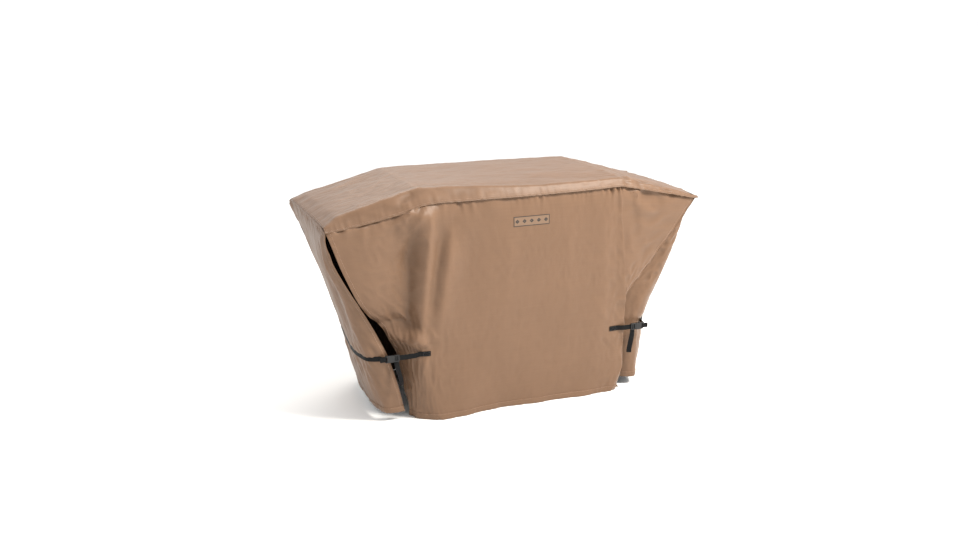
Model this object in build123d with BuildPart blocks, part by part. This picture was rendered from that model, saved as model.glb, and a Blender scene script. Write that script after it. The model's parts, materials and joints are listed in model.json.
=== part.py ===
"""Cloth cover for a four-burner outdoor griddle on a cart, with two side shelves.

The top is raised over the griddle and slopes down over the shelves.  A front and a rear panel hang
from it and stand on their hems.  Two end panels hang from its ends and are drawn in under the
shelves by four short straps with side-release buckles, one at each corner slit.

Millimetres.  +X to the right seen from the front, -Y is the front, +Z up.  The origin is the middle
of the footprint on the ground.
"""
import os

from build123d import *

# ---- driving dimensions -------------------------------------------------------------------------
COVER_LENGTH = 1524.0          # over both shelves
HALF_DEPTH = 312.0             # centre line to the front seam
CENTRE_HALF = 420.0            # raised part over the griddle, to each side
RIDGE_Z = 908.0                # top of the raised part
RIDGE_HALF_DEPTH = 275.0
CENTRE_SEAM_Z = 868.0
SHELF_Z = 815.0                # top edge at the outer end of a shelf
SHELF_HALF_DEPTH = 300.0
SHELF_SEAM_Z = 790.0
CLOTH = 1.2                    # coated cloth with its seam allowance
CLEAR = 0.3                    # between pieces that lie on each other
SEAM_GAP = 0.9                 # between two panels along the seam that joins them
HEM_HEIGHT = 25.0
HEM_THICK = 3.0
FACING_WIDTH = 18.0
FACING_THICK = 1.0

END_HALF = COVER_LENGTH / 2

STRAP_Z = 277.0                # middle height of the straps

# The end panels.  Each level: height, and half an outline in plan, from the middle of the side round
# to the free edge.  The left strap is tied slack, over a square corner; the right one is pulled
# tight and cuts the corner.
FLAP_X = END_HALF + 2.6
FLAP_TOP_Z = SHELF_Z - 9.0
FLAP_HEM_Z = 40.0
TOP_BAND = 20.0
STRAIGHT = [(FLAP_X, y) for y in (0.0, 120.0, 200.0, 250.0, 280.0, 300.0)]
LEFT_MIDDLE = [(718.0, 0.0), (718.0, 130.0), (716.0, 215.0), (706.0, 258.0), (694.0, 280.0), (682.0, 290.0)]
RIGHT_MIDDLE = [(716.0, 0.0), (714.0, 80.0), (704.0, 160.0), (684.0, 222.0), (664.0, 262.0), (636.0, 288.0)]
LEFT_HEM = [(571.0, 0.0), (571.0, 130.0), (568.0, 200.0), (556.0, 243.0), (540.0, 264.0), (510.0, 276.0)]
RIGHT_HEM = [(606.0, 0.0), (598.0, 80.0), (571.0, 150.0), (548.0, 203.0), (531.0, 242.0), (501.0, 269.0)]
LEFT_CINCH = [(655.0, 0.0), (657.0, 130.0), (654.0, 215.0), (640.0, 262.0), (618.0, 288.0), (576.0, 293.0)]
RIGHT_CINCH = [(656.0, 0.0), (648.0, 80.0), (612.0, 160.0), (575.0, 220.0), (548.0, 262.0), (508.0, 291.0)]
FLAP_LEVELS = {
    "left": [
        (FLAP_TOP_Z, STRAIGHT),
        (FLAP_TOP_Z - TOP_BAND, STRAIGHT),
        (535.0, LEFT_MIDDLE),
        (STRAP_Z + 15.0, LEFT_CINCH),
        (STRAP_Z - 15.0, LEFT_CINCH),
        (FLAP_HEM_Z + HEM_HEIGHT, LEFT_HEM),
        (FLAP_HEM_Z, LEFT_HEM),
    ],
    "right": [
        (FLAP_TOP_Z, STRAIGHT),
        (FLAP_TOP_Z - TOP_BAND, STRAIGHT),
        (535.0, RIGHT_MIDDLE),
        (STRAP_Z + 15.0, RIGHT_CINCH),
        (STRAP_Z - 15.0, RIGHT_CINCH),
        (FLAP_HEM_Z + HEM_HEIGHT, RIGHT_HEM),
        (FLAP_HEM_Z, RIGHT_HEM),
    ],
}
CINCH = 3                      # the level of an end panel on which its strap lies

# The front panel.  Each level: height, and half an outline in plan, from the middle out to the free
# edge.  At the left the panel is straight down to the strap; at the right it is folded back over the
# corner of the cart.  Both feet turn the corner and go back along the cart's side.
PANEL_STATIONS = [0.0, 0.26, 0.50, 0.60, 0.70, 0.80, 0.90, 1.0]


def straight(half_width, depth):
    """A straight level of the front panel, with a point for each point of the foot."""
    return [(half_width * share, -depth) for share in PANEL_STATIONS]


SEAM_LEVELS = [
    (CENTRE_SEAM_Z - SEAM_GAP, straight(CENTRE_HALF, HALF_DEPTH)),
    (SHELF_SEAM_Z - SEAM_GAP, straight(END_HALF, HALF_DEPTH)),
]
FOLDED = {
    535.0: [(0.0, -306.0), (180.0, -306.0), (342.0, -306.0), (410.0, -306.0), (455.0, -303.0),
            (505.0, -292.0), (553.0, -276.0), (600.0, -256.0)],
    335.0: [(0.0, -300.0), (160.0, -300.0), (310.0, -300.0), (380.0, -300.0), (440.0, -297.0),
            (461.0, -280.0), (472.0, -255.0), (479.0, -228.0)],
}
PANEL_LEVELS = {
    "left": SEAM_LEVELS + [(535.0, straight(684.0, 306.0)), (335.0, straight(556.0, 300.0))],
    "right": SEAM_LEVELS + list(FOLDED.items()),
}
FOOT_FRONT = 290.0             # the foot's face from the middle
FOOT_HALF = 455.0              # the foot's side from the middle
FOOT_CORNER = 50.0
FOOT_RETURN = 60.0             # how far the panel goes back past the corner

# Straps and buckles, for 20 mm webbing.
STRAP_Y = 306.0                # middle of the strap's thickness at the buckle
WEB = 20.0
WEB_THICK = 1.4
MOUTH_X = {"left": 545.0, "right": 488.0}      # mouth of the socket
TAB_END_X = {"left": 397.0, "right": 372.0}    # sewn end of the webbing
TAB_Y = 300.8
TAB_SEWN = 32.0
PLUG_TRAVEL = 20.0
SOCKET_LENGTH = 34.0
SOCKET_HALF_WIDTH = 14.0
SOCKET_THICK = 10.0
CAVITY_LENGTH = 19.5
CAVITY_HALF_WIDTH = 12.0
CAVITY_THICK = 5.6
WINDOW_LENGTH = 11.0
BAR = 3.0
BAR_SLOT = 5.0
SLOT_HALF = WEB / 2 + 0.5
PLUG_BODY = 21.5
PLUG_HALF_WIDTH = 13.5
PLUG_THICK = 9.0
PRONG_LENGTH = 17.5
PRONG_THICK = 4.6
LADDER_SLOT = 4.0
CHANNEL = 2.4
TAIL_LENGTH = 118.0

LABEL = (150.0, 38.0, 1.0)     # width, height, thickness
LABEL_CENTRE = (18.0, 762.0)

ENDS = {"left": -1, "right": 1}
SIDES = {"front": -1, "rear": 1}
CORNERS = [(f"{side}_{end}", end, across, along)
           for side, along in SIDES.items() for end, across in ENDS.items()]

PARTS = "parts"
os.makedirs(PARTS, exist_ok=True)


def save(piece, name):
    """Label a finished piece and write it as its own file."""
    piece.label = name
    export_step(piece, f"{PARTS}/{name}.step")


def shifted(line, distance):
    """A line moved sideways, to the left of its direction, with mitred corners."""
    points = [Vector(*p) for p in line]
    runs = [(b - a).normalized() for a, b in zip(points, points[1:])]
    moved = []
    for point, before, after in zip(points, [runs[0]] + runs, runs + [runs[-1]]):
        mean = (before + after).normalized()
        aside = point + Vector(-mean.Y, mean.X) * (distance / mean.dot(after))
        moved.append((aside.X, aside.Y))
    return moved


def ribbon(line, left, right):
    """A strip round a line, as one closed row of corners: along its left side and back."""
    return shifted(line, left) + shifted(line, -right)[::-1]


def flat_face(*points):
    """A plane face with these corners."""
    return Face(Wire.make_polygon(points, close=True))


def quad(a, b, c, d, along_ac):
    """A four-cornered patch as two triangles, split along a-c or along b-d."""
    if along_ac:
        return [flat_face(a, b, c), flat_face(a, c, d)]
    return [flat_face(a, b, d), flat_face(b, c, d)]


def cloth(rings):
    """A closed solid through rings, each a strip's left side followed by its right side back.

    It is made from faces, because a loft can't pair the corners of long thin rings reliably.  Both
    skins of a twisted patch are split along the same, shorter diagonal, so that they never cross.
    """
    faces = [flat_face(*rings[0]), flat_face(*rings[-1])]
    last = len(rings[0]) - 1
    for near, far in zip(rings, rings[1:]):
        for i in range(last // 2):
            shorter = (far[i + 1] - near[i]).length <= (far[i] - near[i + 1]).length
            faces += quad(near[i], near[i + 1], far[i + 1], far[i], shorter)
            faces += quad(near[last - i], near[last - i - 1], far[last - i - 1], far[last - i], shorter)
        for i, j in ((last, 0), (last // 2, last // 2 + 1)):
            faces += quad(near[i], near[j], far[j], far[i], True)
    return Solid(Shell(faces))


def strip(levels, left, right):
    """A cloth strip that follows lines at several heights, thickened to the left and right."""
    return cloth([[Vector(x, y, z) for x, y in ribbon(line, left, right)] for z, line in levels])


# ---- outlines -----------------------------------------------------------------------------------
def foot_half():
    """The foot of the front panel from the middle to its free edge, on the right-hand side."""
    corner_x, corner_y = FOOT_HALF - FOOT_CORNER, -FOOT_FRONT + FOOT_CORNER
    turn = Vector(0, -FOOT_CORNER)
    arc = [Vector(corner_x, corner_y) + turn.rotate(Axis.Z, angle) for angle in (0, 30, 60, 90)]
    front = [Vector(corner_x * share, -FOOT_FRONT) for share in (0.0, 0.4, 0.8)]
    side = [Vector(FOOT_HALF, corner_y + FOOT_RETURN)]
    return [(p.X, p.Y) for p in front + arc + side]


def whole(left, right):
    """A line over the full width from its two halves, from the left edge to the right."""
    return [(-x, y) for x, y in left[:0:-1]] + right


FOOT = foot_half()
PANEL_LINES = [(z, whole(left, right)) for (z, left), (z, right) in zip(*PANEL_LEVELS.values())]
PANEL_LINES.append((HEM_HEIGHT, whole(FOOT, FOOT)))
HEM_LINES = [(z, whole(FOOT, FOOT)) for z in (HEM_HEIGHT, 0.0)]


def mirrored_y(levels):
    """The same lines on the other side of the cover's length, run the other way."""
    return [(z, [(x, -y) for x, y in line[::-1]]) for z, line in levels]


def mirrored_x(levels):
    """The same lines on the other end of the cover, run the other way."""
    return [(z, [(-x, y) for x, y in line[::-1]]) for z, line in levels]


def flap_line(half):
    """A level of the right end panel, from its front edge round to its rear edge."""
    return [(x, -y) for x, y in half[:0:-1]] + half


# ---- top panel ----------------------------------------------------------------------------------
TOP_SECTIONS = [
    (-END_HALF, SHELF_HALF_DEPTH, SHELF_Z, SHELF_SEAM_Z),
    (-CENTRE_HALF, RIDGE_HALF_DEPTH, RIDGE_Z, CENTRE_SEAM_Z),
    (CENTRE_HALF, RIDGE_HALF_DEPTH, RIDGE_Z, CENTRE_SEAM_Z),
    (END_HALF, SHELF_HALF_DEPTH, SHELF_Z, SHELF_SEAM_Z),
]

top_rings = []
for x, edge, top, seam in TOP_SECTIONS:
    across = [(-HALF_DEPTH, seam), (-edge, top), (edge, top), (HALF_DEPTH, seam)]
    top_rings.append([Vector(x, y, z) for y, z in ribbon(across, CLOTH / 2, CLOTH / 2)])
with BuildPart() as top_panel:
    add(cloth(top_rings))
save(top_panel.part, "top_panel")

# ---- front and rear panels, with their hems and seam tapes ----------------------------------------
TAPE_HEIGHT = 22.0
TAPE_NEAR = CLOTH / 2 + CLEAR
TAPE_FAR = TAPE_NEAR + FACING_THICK
tape_top = CENTRE_SEAM_Z - CLEAR
tape_reach = CENTRE_HALF - TAPE_HEIGHT
tape_line = [(-tape_reach, -HALF_DEPTH), (tape_reach, -HALF_DEPTH)]
TAPE_LINES = [(tape_top, tape_line), (tape_top - TAPE_HEIGHT, tape_line)]


def skirt(levels, side, left, right):
    """A strip over the whole width of the front or of the rear.

    Its lines run from left to right along the front and back along the rear, so that the inside
    is on their left.
    """
    return strip(levels if side == "front" else mirrored_y(levels), left, right)


for side in SIDES:
    with BuildPart() as panel:
        add(skirt(PANEL_LINES, side, CLOTH / 2, CLOTH / 2))
    save(panel.part, f"{side}_panel")

    with BuildPart() as hem_band:
        add(skirt(HEM_LINES, side, HEM_THICK / 2, HEM_THICK / 2))
    save(hem_band.part, f"{side}_hem_band")

    with BuildPart() as seam_tape:
        add(skirt(TAPE_LINES, side, TAPE_FAR, -TAPE_NEAR))
    save(seam_tape.part, f"{side}_top_seam_tape")

# ---- facings and bar tacks of the four corner slits -----------------------------------------------
TACK = (12.0, 1.0, 4.0)


def at_corner(levels, across, along):
    """Lines drawn at the front right corner, moved to the corner on these sides."""
    if across < 0:
        levels = mirrored_x(levels)
    return levels if along < 0 else mirrored_y(levels)


def facing_plate(inner, top, foot):
    """A flat strip along the free edge from top to foot, lying inside the cloth.

    It lies in the plane of the edge and of a point inner further in, as the cloth there does.
    """
    edge = foot - top
    away = inner - top
    reach = away.cross(edge).length / edge.length
    share = FACING_WIDTH / reach
    normal = away.cross(edge).normalized()
    if normal.Y * top.Y > 0:
        normal = -normal
    corners = [top, top + away * share, foot + (inner - foot) * share, foot]
    return extrude(flat_face(*[p + normal * TAPE_NEAR for p in corners]), FACING_THICK, normal)


for corner, end, across, along in CORNERS:
    edges = [(z, *half[-2:]) for z, half in PANEL_LEVELS[end][1:]]
    plates = []
    for (z, (in_x, in_y), (top_x, top_y)), (low, _, (foot_x, foot_y)) in zip(edges, edges[1:]):
        plates.append(facing_plate(Vector(across * in_x, -along * in_y, z),
                                   Vector(across * top_x, -along * top_y, z),
                                   Vector(across * foot_x, -along * foot_y, low)))
    with BuildPart() as facing:
        add(plates)
    save(facing.part, f"{corner}_slit_facing")

tack_z = SHELF_SEAM_Z - SEAM_GAP - TACK[2]
with BuildPart() as slit_bartacks:
    with Locations([(across * (END_HALF - TACK[0]), along * (HALF_DEPTH + CLOTH / 2 + TACK[1] / 2), tack_z)
                    for corner, end, across, along in CORNERS]):
        Box(*TACK)
save(slit_bartacks.part, "slit_bartacks")

# ---- woven label on the front panel ---------------------------------------------------------------
(seam_z, seam_line), (below_z, below_line) = PANEL_LEVELS["right"][1:3]
label_lean = (below_line[0][1] - seam_line[0][1]) / (seam_z - below_z)
label_levels = []
for z in (LABEL_CENTRE[1] + LABEL[1] / 2, LABEL_CENTRE[1] - LABEL[1] / 2):
    y = seam_line[0][1] + (seam_z - z) * label_lean
    label_levels.append((z, [(LABEL_CENTRE[0] - LABEL[0] / 2, y), (LABEL_CENTRE[0] + LABEL[0] / 2, y)]))
with BuildPart() as front_label:
    add(strip(label_levels, -CLOTH / 2, CLOTH / 2 + LABEL[2]))
save(front_label.part, "front_label")

# ---- straps: sewn tabs on the front and rear panels -----------------------------------------------
WEB_LEVELS = (STRAP_Z + WEB / 2, STRAP_Z - WEB / 2)
BOX_STITCH = (TAB_SEWN - 8.0, WEB - 5.0)
THREAD = 1.0
THREAD_HIGH = 0.5
TAB_RISE = 22.0                # length over which the webbing leaves the panel
WEB_END_GAP = 1.5              # from the webbing's end to the prongs, with the plug drawn out
for corner, end, across, along in CORNERS:
    sewn_to = TAB_END_X[end] + TAB_SEWN
    tab_line = [(TAB_END_X[end], -TAB_Y), (sewn_to, -TAB_Y), (sewn_to + TAB_RISE, -STRAP_Y),
                (MOUTH_X[end] - PLUG_TRAVEL - WEB_END_GAP, -STRAP_Y)]
    with BuildPart() as tab_webbing:
        tab_levels = [(z, tab_line) for z in WEB_LEVELS]
        add(strip(at_corner(tab_levels, across, along), WEB_THICK / 2, WEB_THICK / 2))
    save(tab_webbing.part, f"{corner}_tab_webbing")

    stitch_centre = TAB_END_X[end] + TAB_SEWN / 2
    face = Plane(origin=(across * stitch_centre, along * (TAB_Y + WEB_THICK / 2), STRAP_Z),
                 x_dir=(1, 0, 0), z_dir=(0, along, 0))
    with BuildPart() as tab_stitching:
        with BuildSketch(face):
            Rectangle(*BOX_STITCH)
            offset(amount=-THREAD, mode=Mode.SUBTRACT)
            reach = (BOX_STITCH[0] ** 2 + BOX_STITCH[1] ** 2) ** 0.5 - 2 * THREAD
            slope = Vector(BOX_STITCH[0], BOX_STITCH[1]).get_angle(Vector(1, 0))
            with Locations(Location((0, 0), slope), Location((0, 0), -slope)):
                Rectangle(reach, THREAD)
        extrude(amount=THREAD_HIGH)
    save(tab_stitching.part, f"{corner}_tab_stitching")

# ---- buckles ------------------------------------------------------------------------------------
# Each buckle is drawn in the plane of its strap: X away from the middle of the cover, from the mouth
# of the socket, and Y up.
PRONG_AT = 8.8                 # middle of a prong from the strap's centre line
PRONG_WIDE = 3.6
TIP_WIDE = 5.0
TIP_LENGTH = 7.0
TONGUE = (13.0, 3.0)
TAIL_X = 11.0                  # middle of the tail from the mouth, towards the tab


def strap_plane(end, across, along):
    """The plane of one strap, with its origin in the middle of the socket's mouth."""
    return Plane(origin=(across * MOUTH_X[end], along * STRAP_Y, STRAP_Z), x_dir=(across, 0, 0),
                 z_dir=(0, -across, 0))


for corner, end, across, along in CORNERS:
    plane = strap_plane(end, across, along)

    with BuildPart() as socket:
        with BuildSketch(plane):
            with Locations((SOCKET_LENGTH / 2, 0)):
                RectangleRounded(SOCKET_LENGTH, 2 * SOCKET_HALF_WIDTH, 3.0)
        extrude(amount=SOCKET_THICK / 2, both=True)
        # Rounded edges round the casing, front and back.
        rims = socket.edges().group_by(Axis.Y)
        fillet(rims[0] + rims[-1], radius=1.2)
        # The cavity for the plug, the windows at its sides, and the slot for the webbing.
        with BuildSketch(plane):
            with Locations((CAVITY_LENGTH / 2, 0)):
                Rectangle(CAVITY_LENGTH, 2 * CAVITY_HALF_WIDTH)
        extrude(amount=CAVITY_THICK / 2, both=True, mode=Mode.SUBTRACT)
        with BuildSketch(plane):
            with Locations((CAVITY_LENGTH - WINDOW_LENGTH / 2, 0)):
                Rectangle(WINDOW_LENGTH, 3 * SOCKET_HALF_WIDTH)
        extrude(amount=CAVITY_THICK / 2, both=True, mode=Mode.SUBTRACT)
        slot_from = SOCKET_LENGTH - BAR - BAR_SLOT
        with BuildSketch(plane):
            with Locations((slot_from + BAR_SLOT / 2, 0)):
                Rectangle(BAR_SLOT, 2 * SLOT_HALF)
        extrude(amount=SOCKET_THICK, both=True, mode=Mode.SUBTRACT)
        # The bar itself is thinner than the casing, so that the webbing's fold stays inside it.
        for side in (1, -1):
            with BuildSketch(plane.offset(side * SOCKET_THICK / 2)):
                with Locations((SOCKET_LENGTH - BAR / 2, 0)):
                    Rectangle(BAR + 1.0, 2 * SLOT_HALF)
            extrude(amount=-side * (SOCKET_THICK - BAR) / 2, mode=Mode.SUBTRACT)
    save(socket.part, f"{corner}_buckle_socket")

    with BuildPart() as plug:
        with BuildSketch(plane):
            with Locations((-PLUG_BODY / 2 - CLEAR, 0)):
                RectangleRounded(PLUG_BODY, 2 * PLUG_HALF_WIDTH, 2.5)
        extrude(amount=PLUG_THICK / 2, both=True)
        rims = plug.edges().group_by(Axis.Y)
        fillet(rims[0] + rims[-1], radius=1.0)
        # Two ladder slots across the body, and the channel that the webbing runs in.
        with BuildSketch(plane):
            with Locations((-CLEAR - 7.0, 0), (-CLEAR - 14.5, 0)):
                Rectangle(LADDER_SLOT, 2 * SLOT_HALF)
        extrude(amount=PLUG_THICK, both=True, mode=Mode.SUBTRACT)
        with BuildSketch(plane):
            with Locations((-PLUG_BODY / 2 - CLEAR, 0)):
                Rectangle(PLUG_BODY + 2.0, 2 * SLOT_HALF)
        extrude(amount=CHANNEL / 2, both=True, mode=Mode.SUBTRACT)
        # Two prongs with thicker tips, drawn squeezed in so that they pass the mouth.
        with BuildSketch(plane):
            with Locations((PRONG_LENGTH / 2 - 0.5, PRONG_AT), (PRONG_LENGTH / 2 - 0.5, -PRONG_AT)):
                RectangleRounded(PRONG_LENGTH + 1.0, PRONG_WIDE, 1.2)
            tip_x = PRONG_LENGTH - TIP_LENGTH / 2
            with Locations((tip_x, PRONG_AT + 0.3), (tip_x, -PRONG_AT - 0.3)):
                RectangleRounded(TIP_LENGTH, TIP_WIDE, 1.8)
        extrude(amount=PRONG_THICK / 2, both=True)
        with BuildSketch(plane.offset(CHANNEL / 2 + 0.1)):
            with Locations((TONGUE[0] / 2 - 1.0, 0)):
                Rectangle(TONGUE[0] + 2.0, TONGUE[1])
        extrude(amount=1.2)
    save(plug.part, f"{corner}_buckle_plug")

    tail_y = along * (STRAP_Y - PLUG_THICK / 2 - WEB_THICK / 2)
    with BuildPart() as tail_webbing:
        with Locations((across * (MOUTH_X[end] - TAIL_X), tail_y, STRAP_Z + 9.0 - TAIL_LENGTH / 2)):
            Box(WEB, WEB_THICK, TAIL_LENGTH)
    save(tail_webbing.part, f"{corner}_tail_webbing")

# ---- end panels -----------------------------------------------------------------------------------
# The strap round an end panel: along its face between the straight parts of its two laps, then out
# to the bar of each socket, round it, and back on itself.
FOLD = BAR / 2 + 0.4 + WEB_THICK / 2
ON_CLOTH = CLOTH / 2 + CLEAR + WEB_THICK / 2
for end, turned in (("left", mirrored_x), ("right", list)):
    lines = [(z, flap_line(half)) for z, half in FLAP_LEVELS[end]]

    with BuildPart() as end_panel:
        add(strip(turned(lines[:-1]), CLOTH / 2, CLOTH / 2))
    save(end_panel.part, f"{end}_end_panel")

    band_sides = (-TAPE_NEAR, TAPE_FAR)
    with BuildPart() as top_band:
        add(strip(turned(lines[:2]), *band_sides))
    save(top_band.part, f"{end}_end_top_band")

    with BuildPart() as end_hem:
        add(strip(turned(lines[-2:]), HEM_THICK / 2, HEM_THICK / 2))
    save(end_hem.part, f"{end}_end_hem_band")

    bar_x = MOUTH_X[end] + SOCKET_LENGTH - BAR - BAR_SLOT / 2
    round_bar = [(bar_x + 26.0, -STRAP_Y), (bar_x + 18.0, -STRAP_Y - FOLD), (bar_x, -STRAP_Y - FOLD),
                 (bar_x, -STRAP_Y + FOLD), (bar_x + 15.0, -STRAP_Y + FOLD)]
    on_panel = shifted(lines[CINCH][1], -ON_CLOTH)[1:-1]
    strap_line = round_bar + on_panel + [(x, -y) for x, y in round_bar[::-1]]
    with BuildPart() as end_webbing:
        add(strip(turned([(z, strap_line) for z in WEB_LEVELS]), WEB_THICK / 2, WEB_THICK / 2))
    save(end_webbing.part, f"{end}_end_webbing")
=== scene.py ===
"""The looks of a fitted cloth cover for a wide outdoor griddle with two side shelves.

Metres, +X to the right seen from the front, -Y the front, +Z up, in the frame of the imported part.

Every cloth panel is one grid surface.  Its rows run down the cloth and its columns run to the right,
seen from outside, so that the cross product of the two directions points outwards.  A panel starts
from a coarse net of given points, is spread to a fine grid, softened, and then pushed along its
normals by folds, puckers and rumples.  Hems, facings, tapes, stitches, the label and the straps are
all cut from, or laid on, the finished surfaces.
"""

import json
import logging
import math
from dataclasses import dataclass, field
from enum import Enum

import bpy
import numpy as np
from mathutils import Matrix, Vector

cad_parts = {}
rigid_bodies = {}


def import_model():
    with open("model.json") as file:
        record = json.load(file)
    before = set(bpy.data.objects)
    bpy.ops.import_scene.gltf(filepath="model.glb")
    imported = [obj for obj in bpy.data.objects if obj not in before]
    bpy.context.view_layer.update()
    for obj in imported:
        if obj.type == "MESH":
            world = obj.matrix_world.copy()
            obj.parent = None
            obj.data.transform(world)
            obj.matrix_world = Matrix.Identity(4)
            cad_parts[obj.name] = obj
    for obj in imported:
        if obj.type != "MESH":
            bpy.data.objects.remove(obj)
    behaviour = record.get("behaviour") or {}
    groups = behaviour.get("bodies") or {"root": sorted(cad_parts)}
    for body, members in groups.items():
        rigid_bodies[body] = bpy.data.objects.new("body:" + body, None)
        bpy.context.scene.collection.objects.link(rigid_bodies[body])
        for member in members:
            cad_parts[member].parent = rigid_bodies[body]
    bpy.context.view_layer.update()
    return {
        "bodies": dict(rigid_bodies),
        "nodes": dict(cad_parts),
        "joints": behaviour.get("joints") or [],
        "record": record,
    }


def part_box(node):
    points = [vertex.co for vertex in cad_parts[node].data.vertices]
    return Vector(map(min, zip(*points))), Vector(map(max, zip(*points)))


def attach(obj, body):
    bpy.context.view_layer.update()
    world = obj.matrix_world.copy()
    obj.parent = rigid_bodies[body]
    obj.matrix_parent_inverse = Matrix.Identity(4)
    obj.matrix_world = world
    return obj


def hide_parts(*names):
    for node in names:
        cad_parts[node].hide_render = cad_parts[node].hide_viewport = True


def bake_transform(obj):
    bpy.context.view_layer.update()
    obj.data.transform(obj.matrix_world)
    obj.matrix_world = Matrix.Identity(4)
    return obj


Array = np.ndarray
Plan = tuple[float, float]
Place = tuple[float, float, float]

LOG = logging.getLogger("griddle_cover")
FLAT_MAP = "flat"              # the UV map: metres of flat cloth, so a weave runs with the threads
CREASE = "crease"              # how proud of the cloth round it a point is, from 0 to 1; it paints shade into the cloth's colour in the hollows and makes the ridges lighter
SMOOTH_BELOW = math.radians(40)
UP = np.array([0.0, 0.0, 1.0])

CLOTH_THICKNESS = 0.0011
HEM_DEPTH = 0.025
HEM_THICKNESS = 0.0036
HEM_MARGIN = 0.003             # from a hem's stitches to its upper edge
HEM_FACE = 0.0014              # height of a hem's stitches over the skin of the panel
ROLL_WIDTH = 0.0034            # of a free edge that is rolled over
ROLL_THICKNESS = 0.0030
WEBBING_WIDTH = 0.020
WEBBING_THICKNESS = 0.0014
STRAP_STEP = 0.0015            # from one ring of a strap to the next
STRAP_HEIGHT = 0.277           # height of the four buckles over the ground
STRAP_GAP = 0.0012             # air between a strap and the cloth under it


# ---- choices -------------------------------------------------------------------------------------
class Edge(Enum):
    """One edge of a panel, seen from outside."""
    TOP = "top"
    FOOT = "foot"
    LEFT = "left"
    RIGHT = "right"


class Side(Enum):
    """The front or the rear of the cover, and the sign of Y there."""
    FRONT = -1
    REAR = 1

    @property
    def word(self) -> str:
        """The side's name in the names of pieces."""
        return self.name.lower()


class End(Enum):
    """The left or the right end of the cover, and the sign of X there."""
    LEFT = -1
    RIGHT = 1

    @property
    def word(self) -> str:
        """The end's name in the names of pieces."""
        return self.name.lower()


# ---- arithmetic on grids -------------------------------------------------------------------------
def unit(vectors: Array) -> Array:
    """Vectors of length one in the same directions."""
    return vectors / np.maximum(np.linalg.norm(vectors, axis=-1, keepdims=True), 1e-12)


def smoothstep(t: Array) -> Array:
    """Rises smoothly from 0 at t = 0 to 1 at t = 1 and is level outside."""
    t = np.clip(t, 0.0, 1.0)
    return t * t * (3.0 - 2.0 * t)


def softening(count: int, sigma: float) -> Array:
    """The matrix that softens count samples with a bell curve of sigma samples.

    Past each end the samples go on as if turned half round the end sample, so that the ends stay
    where they are and the slope there isn't lost.

    Args:
        count: Number of samples in a row.
        sigma: Spread of the bell curve, in samples.

    Returns:
        A count by count matrix.
    """
    if sigma < 0.05:
        return np.eye(count)
    reach = min(int(3 * sigma) + 1, count - 1)
    offsets = np.arange(-reach, reach + 1)
    bell = np.exp(-0.5 * (offsets / sigma) ** 2)
    bell /= bell.sum()
    at = np.arange(count)[:, None] + offsets
    rows = np.broadcast_to(np.arange(count)[:, None], at.shape)
    weights = np.broadcast_to(bell, at.shape)
    outside = (at < 0) | (at > count - 1)
    turned = np.where(at < 0, -at, np.where(at > count - 1, 2 * (count - 1) - at, at))
    matrix = np.zeros((count, count))
    np.add.at(matrix, (rows, turned), weights * np.where(outside, -1.0, 1.0))
    ends = np.where(at < 0, 0, count - 1)
    np.add.at(matrix, (rows[outside], ends[outside]), 2.0 * weights[outside])
    return matrix


def soften(grid: Array, down: float, across: float) -> Array:
    """A grid softened by down samples along its columns and across samples along its rows."""
    grid = np.tensordot(softening(grid.shape[0], down), grid, axes=(1, 0))
    return np.moveaxis(np.tensordot(softening(grid.shape[1], across), grid, axes=(1, 1)), 0, 1)


def spread(net: Array, axis: int, count: int) -> tuple[Array, Array, float]:
    """Resample a net along one axis by straight lines, evenly spaced on average.

    Args:
        net: Points, rows by columns by 3.
        axis: The axis to resample.
        count: Number of samples along it.

    Returns:
        The resampled net, where the net's own rows or columns lie on it from 0 to 1, and the mean
        length in metres.
    """
    steps = np.linalg.norm(np.diff(net, axis=axis), axis=-1).mean(axis=1 - axis)
    knots = np.concatenate([[0.0], np.cumsum(steps)]) / steps.sum()
    at = np.linspace(0.0, 1.0, count)
    low = np.clip(np.searchsorted(knots, at, side="right") - 1, 0, len(knots) - 2)
    share = (at - knots[low]) / (knots[low + 1] - knots[low])
    share = share.reshape((-1, 1, 1) if axis == 0 else (1, -1, 1))
    net = np.take(net, low, axis=axis) * (1 - share) + np.take(net, low + 1, axis=axis) * share
    return net, knots, float(steps.sum())


@dataclass
class Rumpler:
    """The random waves of one panel's grid, drawn in the order in which they are asked for."""
    rng: np.random.Generator
    shape: tuple[int, int]
    row_gap: float
    column_gap: float

    def waves(self, down: float, across: float) -> Array:
        """Soft waves: white noise softened once, less the same noise softened twice as much.

        Args:
            down: Rough length of a wave down the cloth, in metres.
            across: Rough length of a wave across it, in metres.

        Returns:
            A height for each point of the grid, with a spread of one.
        """
        down, across = down / self.row_gap, across / self.column_gap
        noise = self.rng.standard_normal(self.shape)
        waves = soften(noise, down / 5, across / 5) - soften(noise, down / 2.4, across / 2.4)
        return waves / waves.std()

    def crinkles(self, down: float, across: float) -> Array:
        """Sharp creases between flat facets, as coated cloth keeps them: waves turned up at zero."""
        return 0.8 - np.abs(self.waves(down, across))


# ---- surfaces ------------------------------------------------------------------------------------
@dataclass(frozen=True)
class Crease:
    """A row or a column of a net along which the cloth stays sharp."""
    is_row: bool
    index: int
    reach: float               # how far the sharpness goes to each side, in metres
    keep: float = 1.0          # 1 is as sharp as the cloth gets


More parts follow.
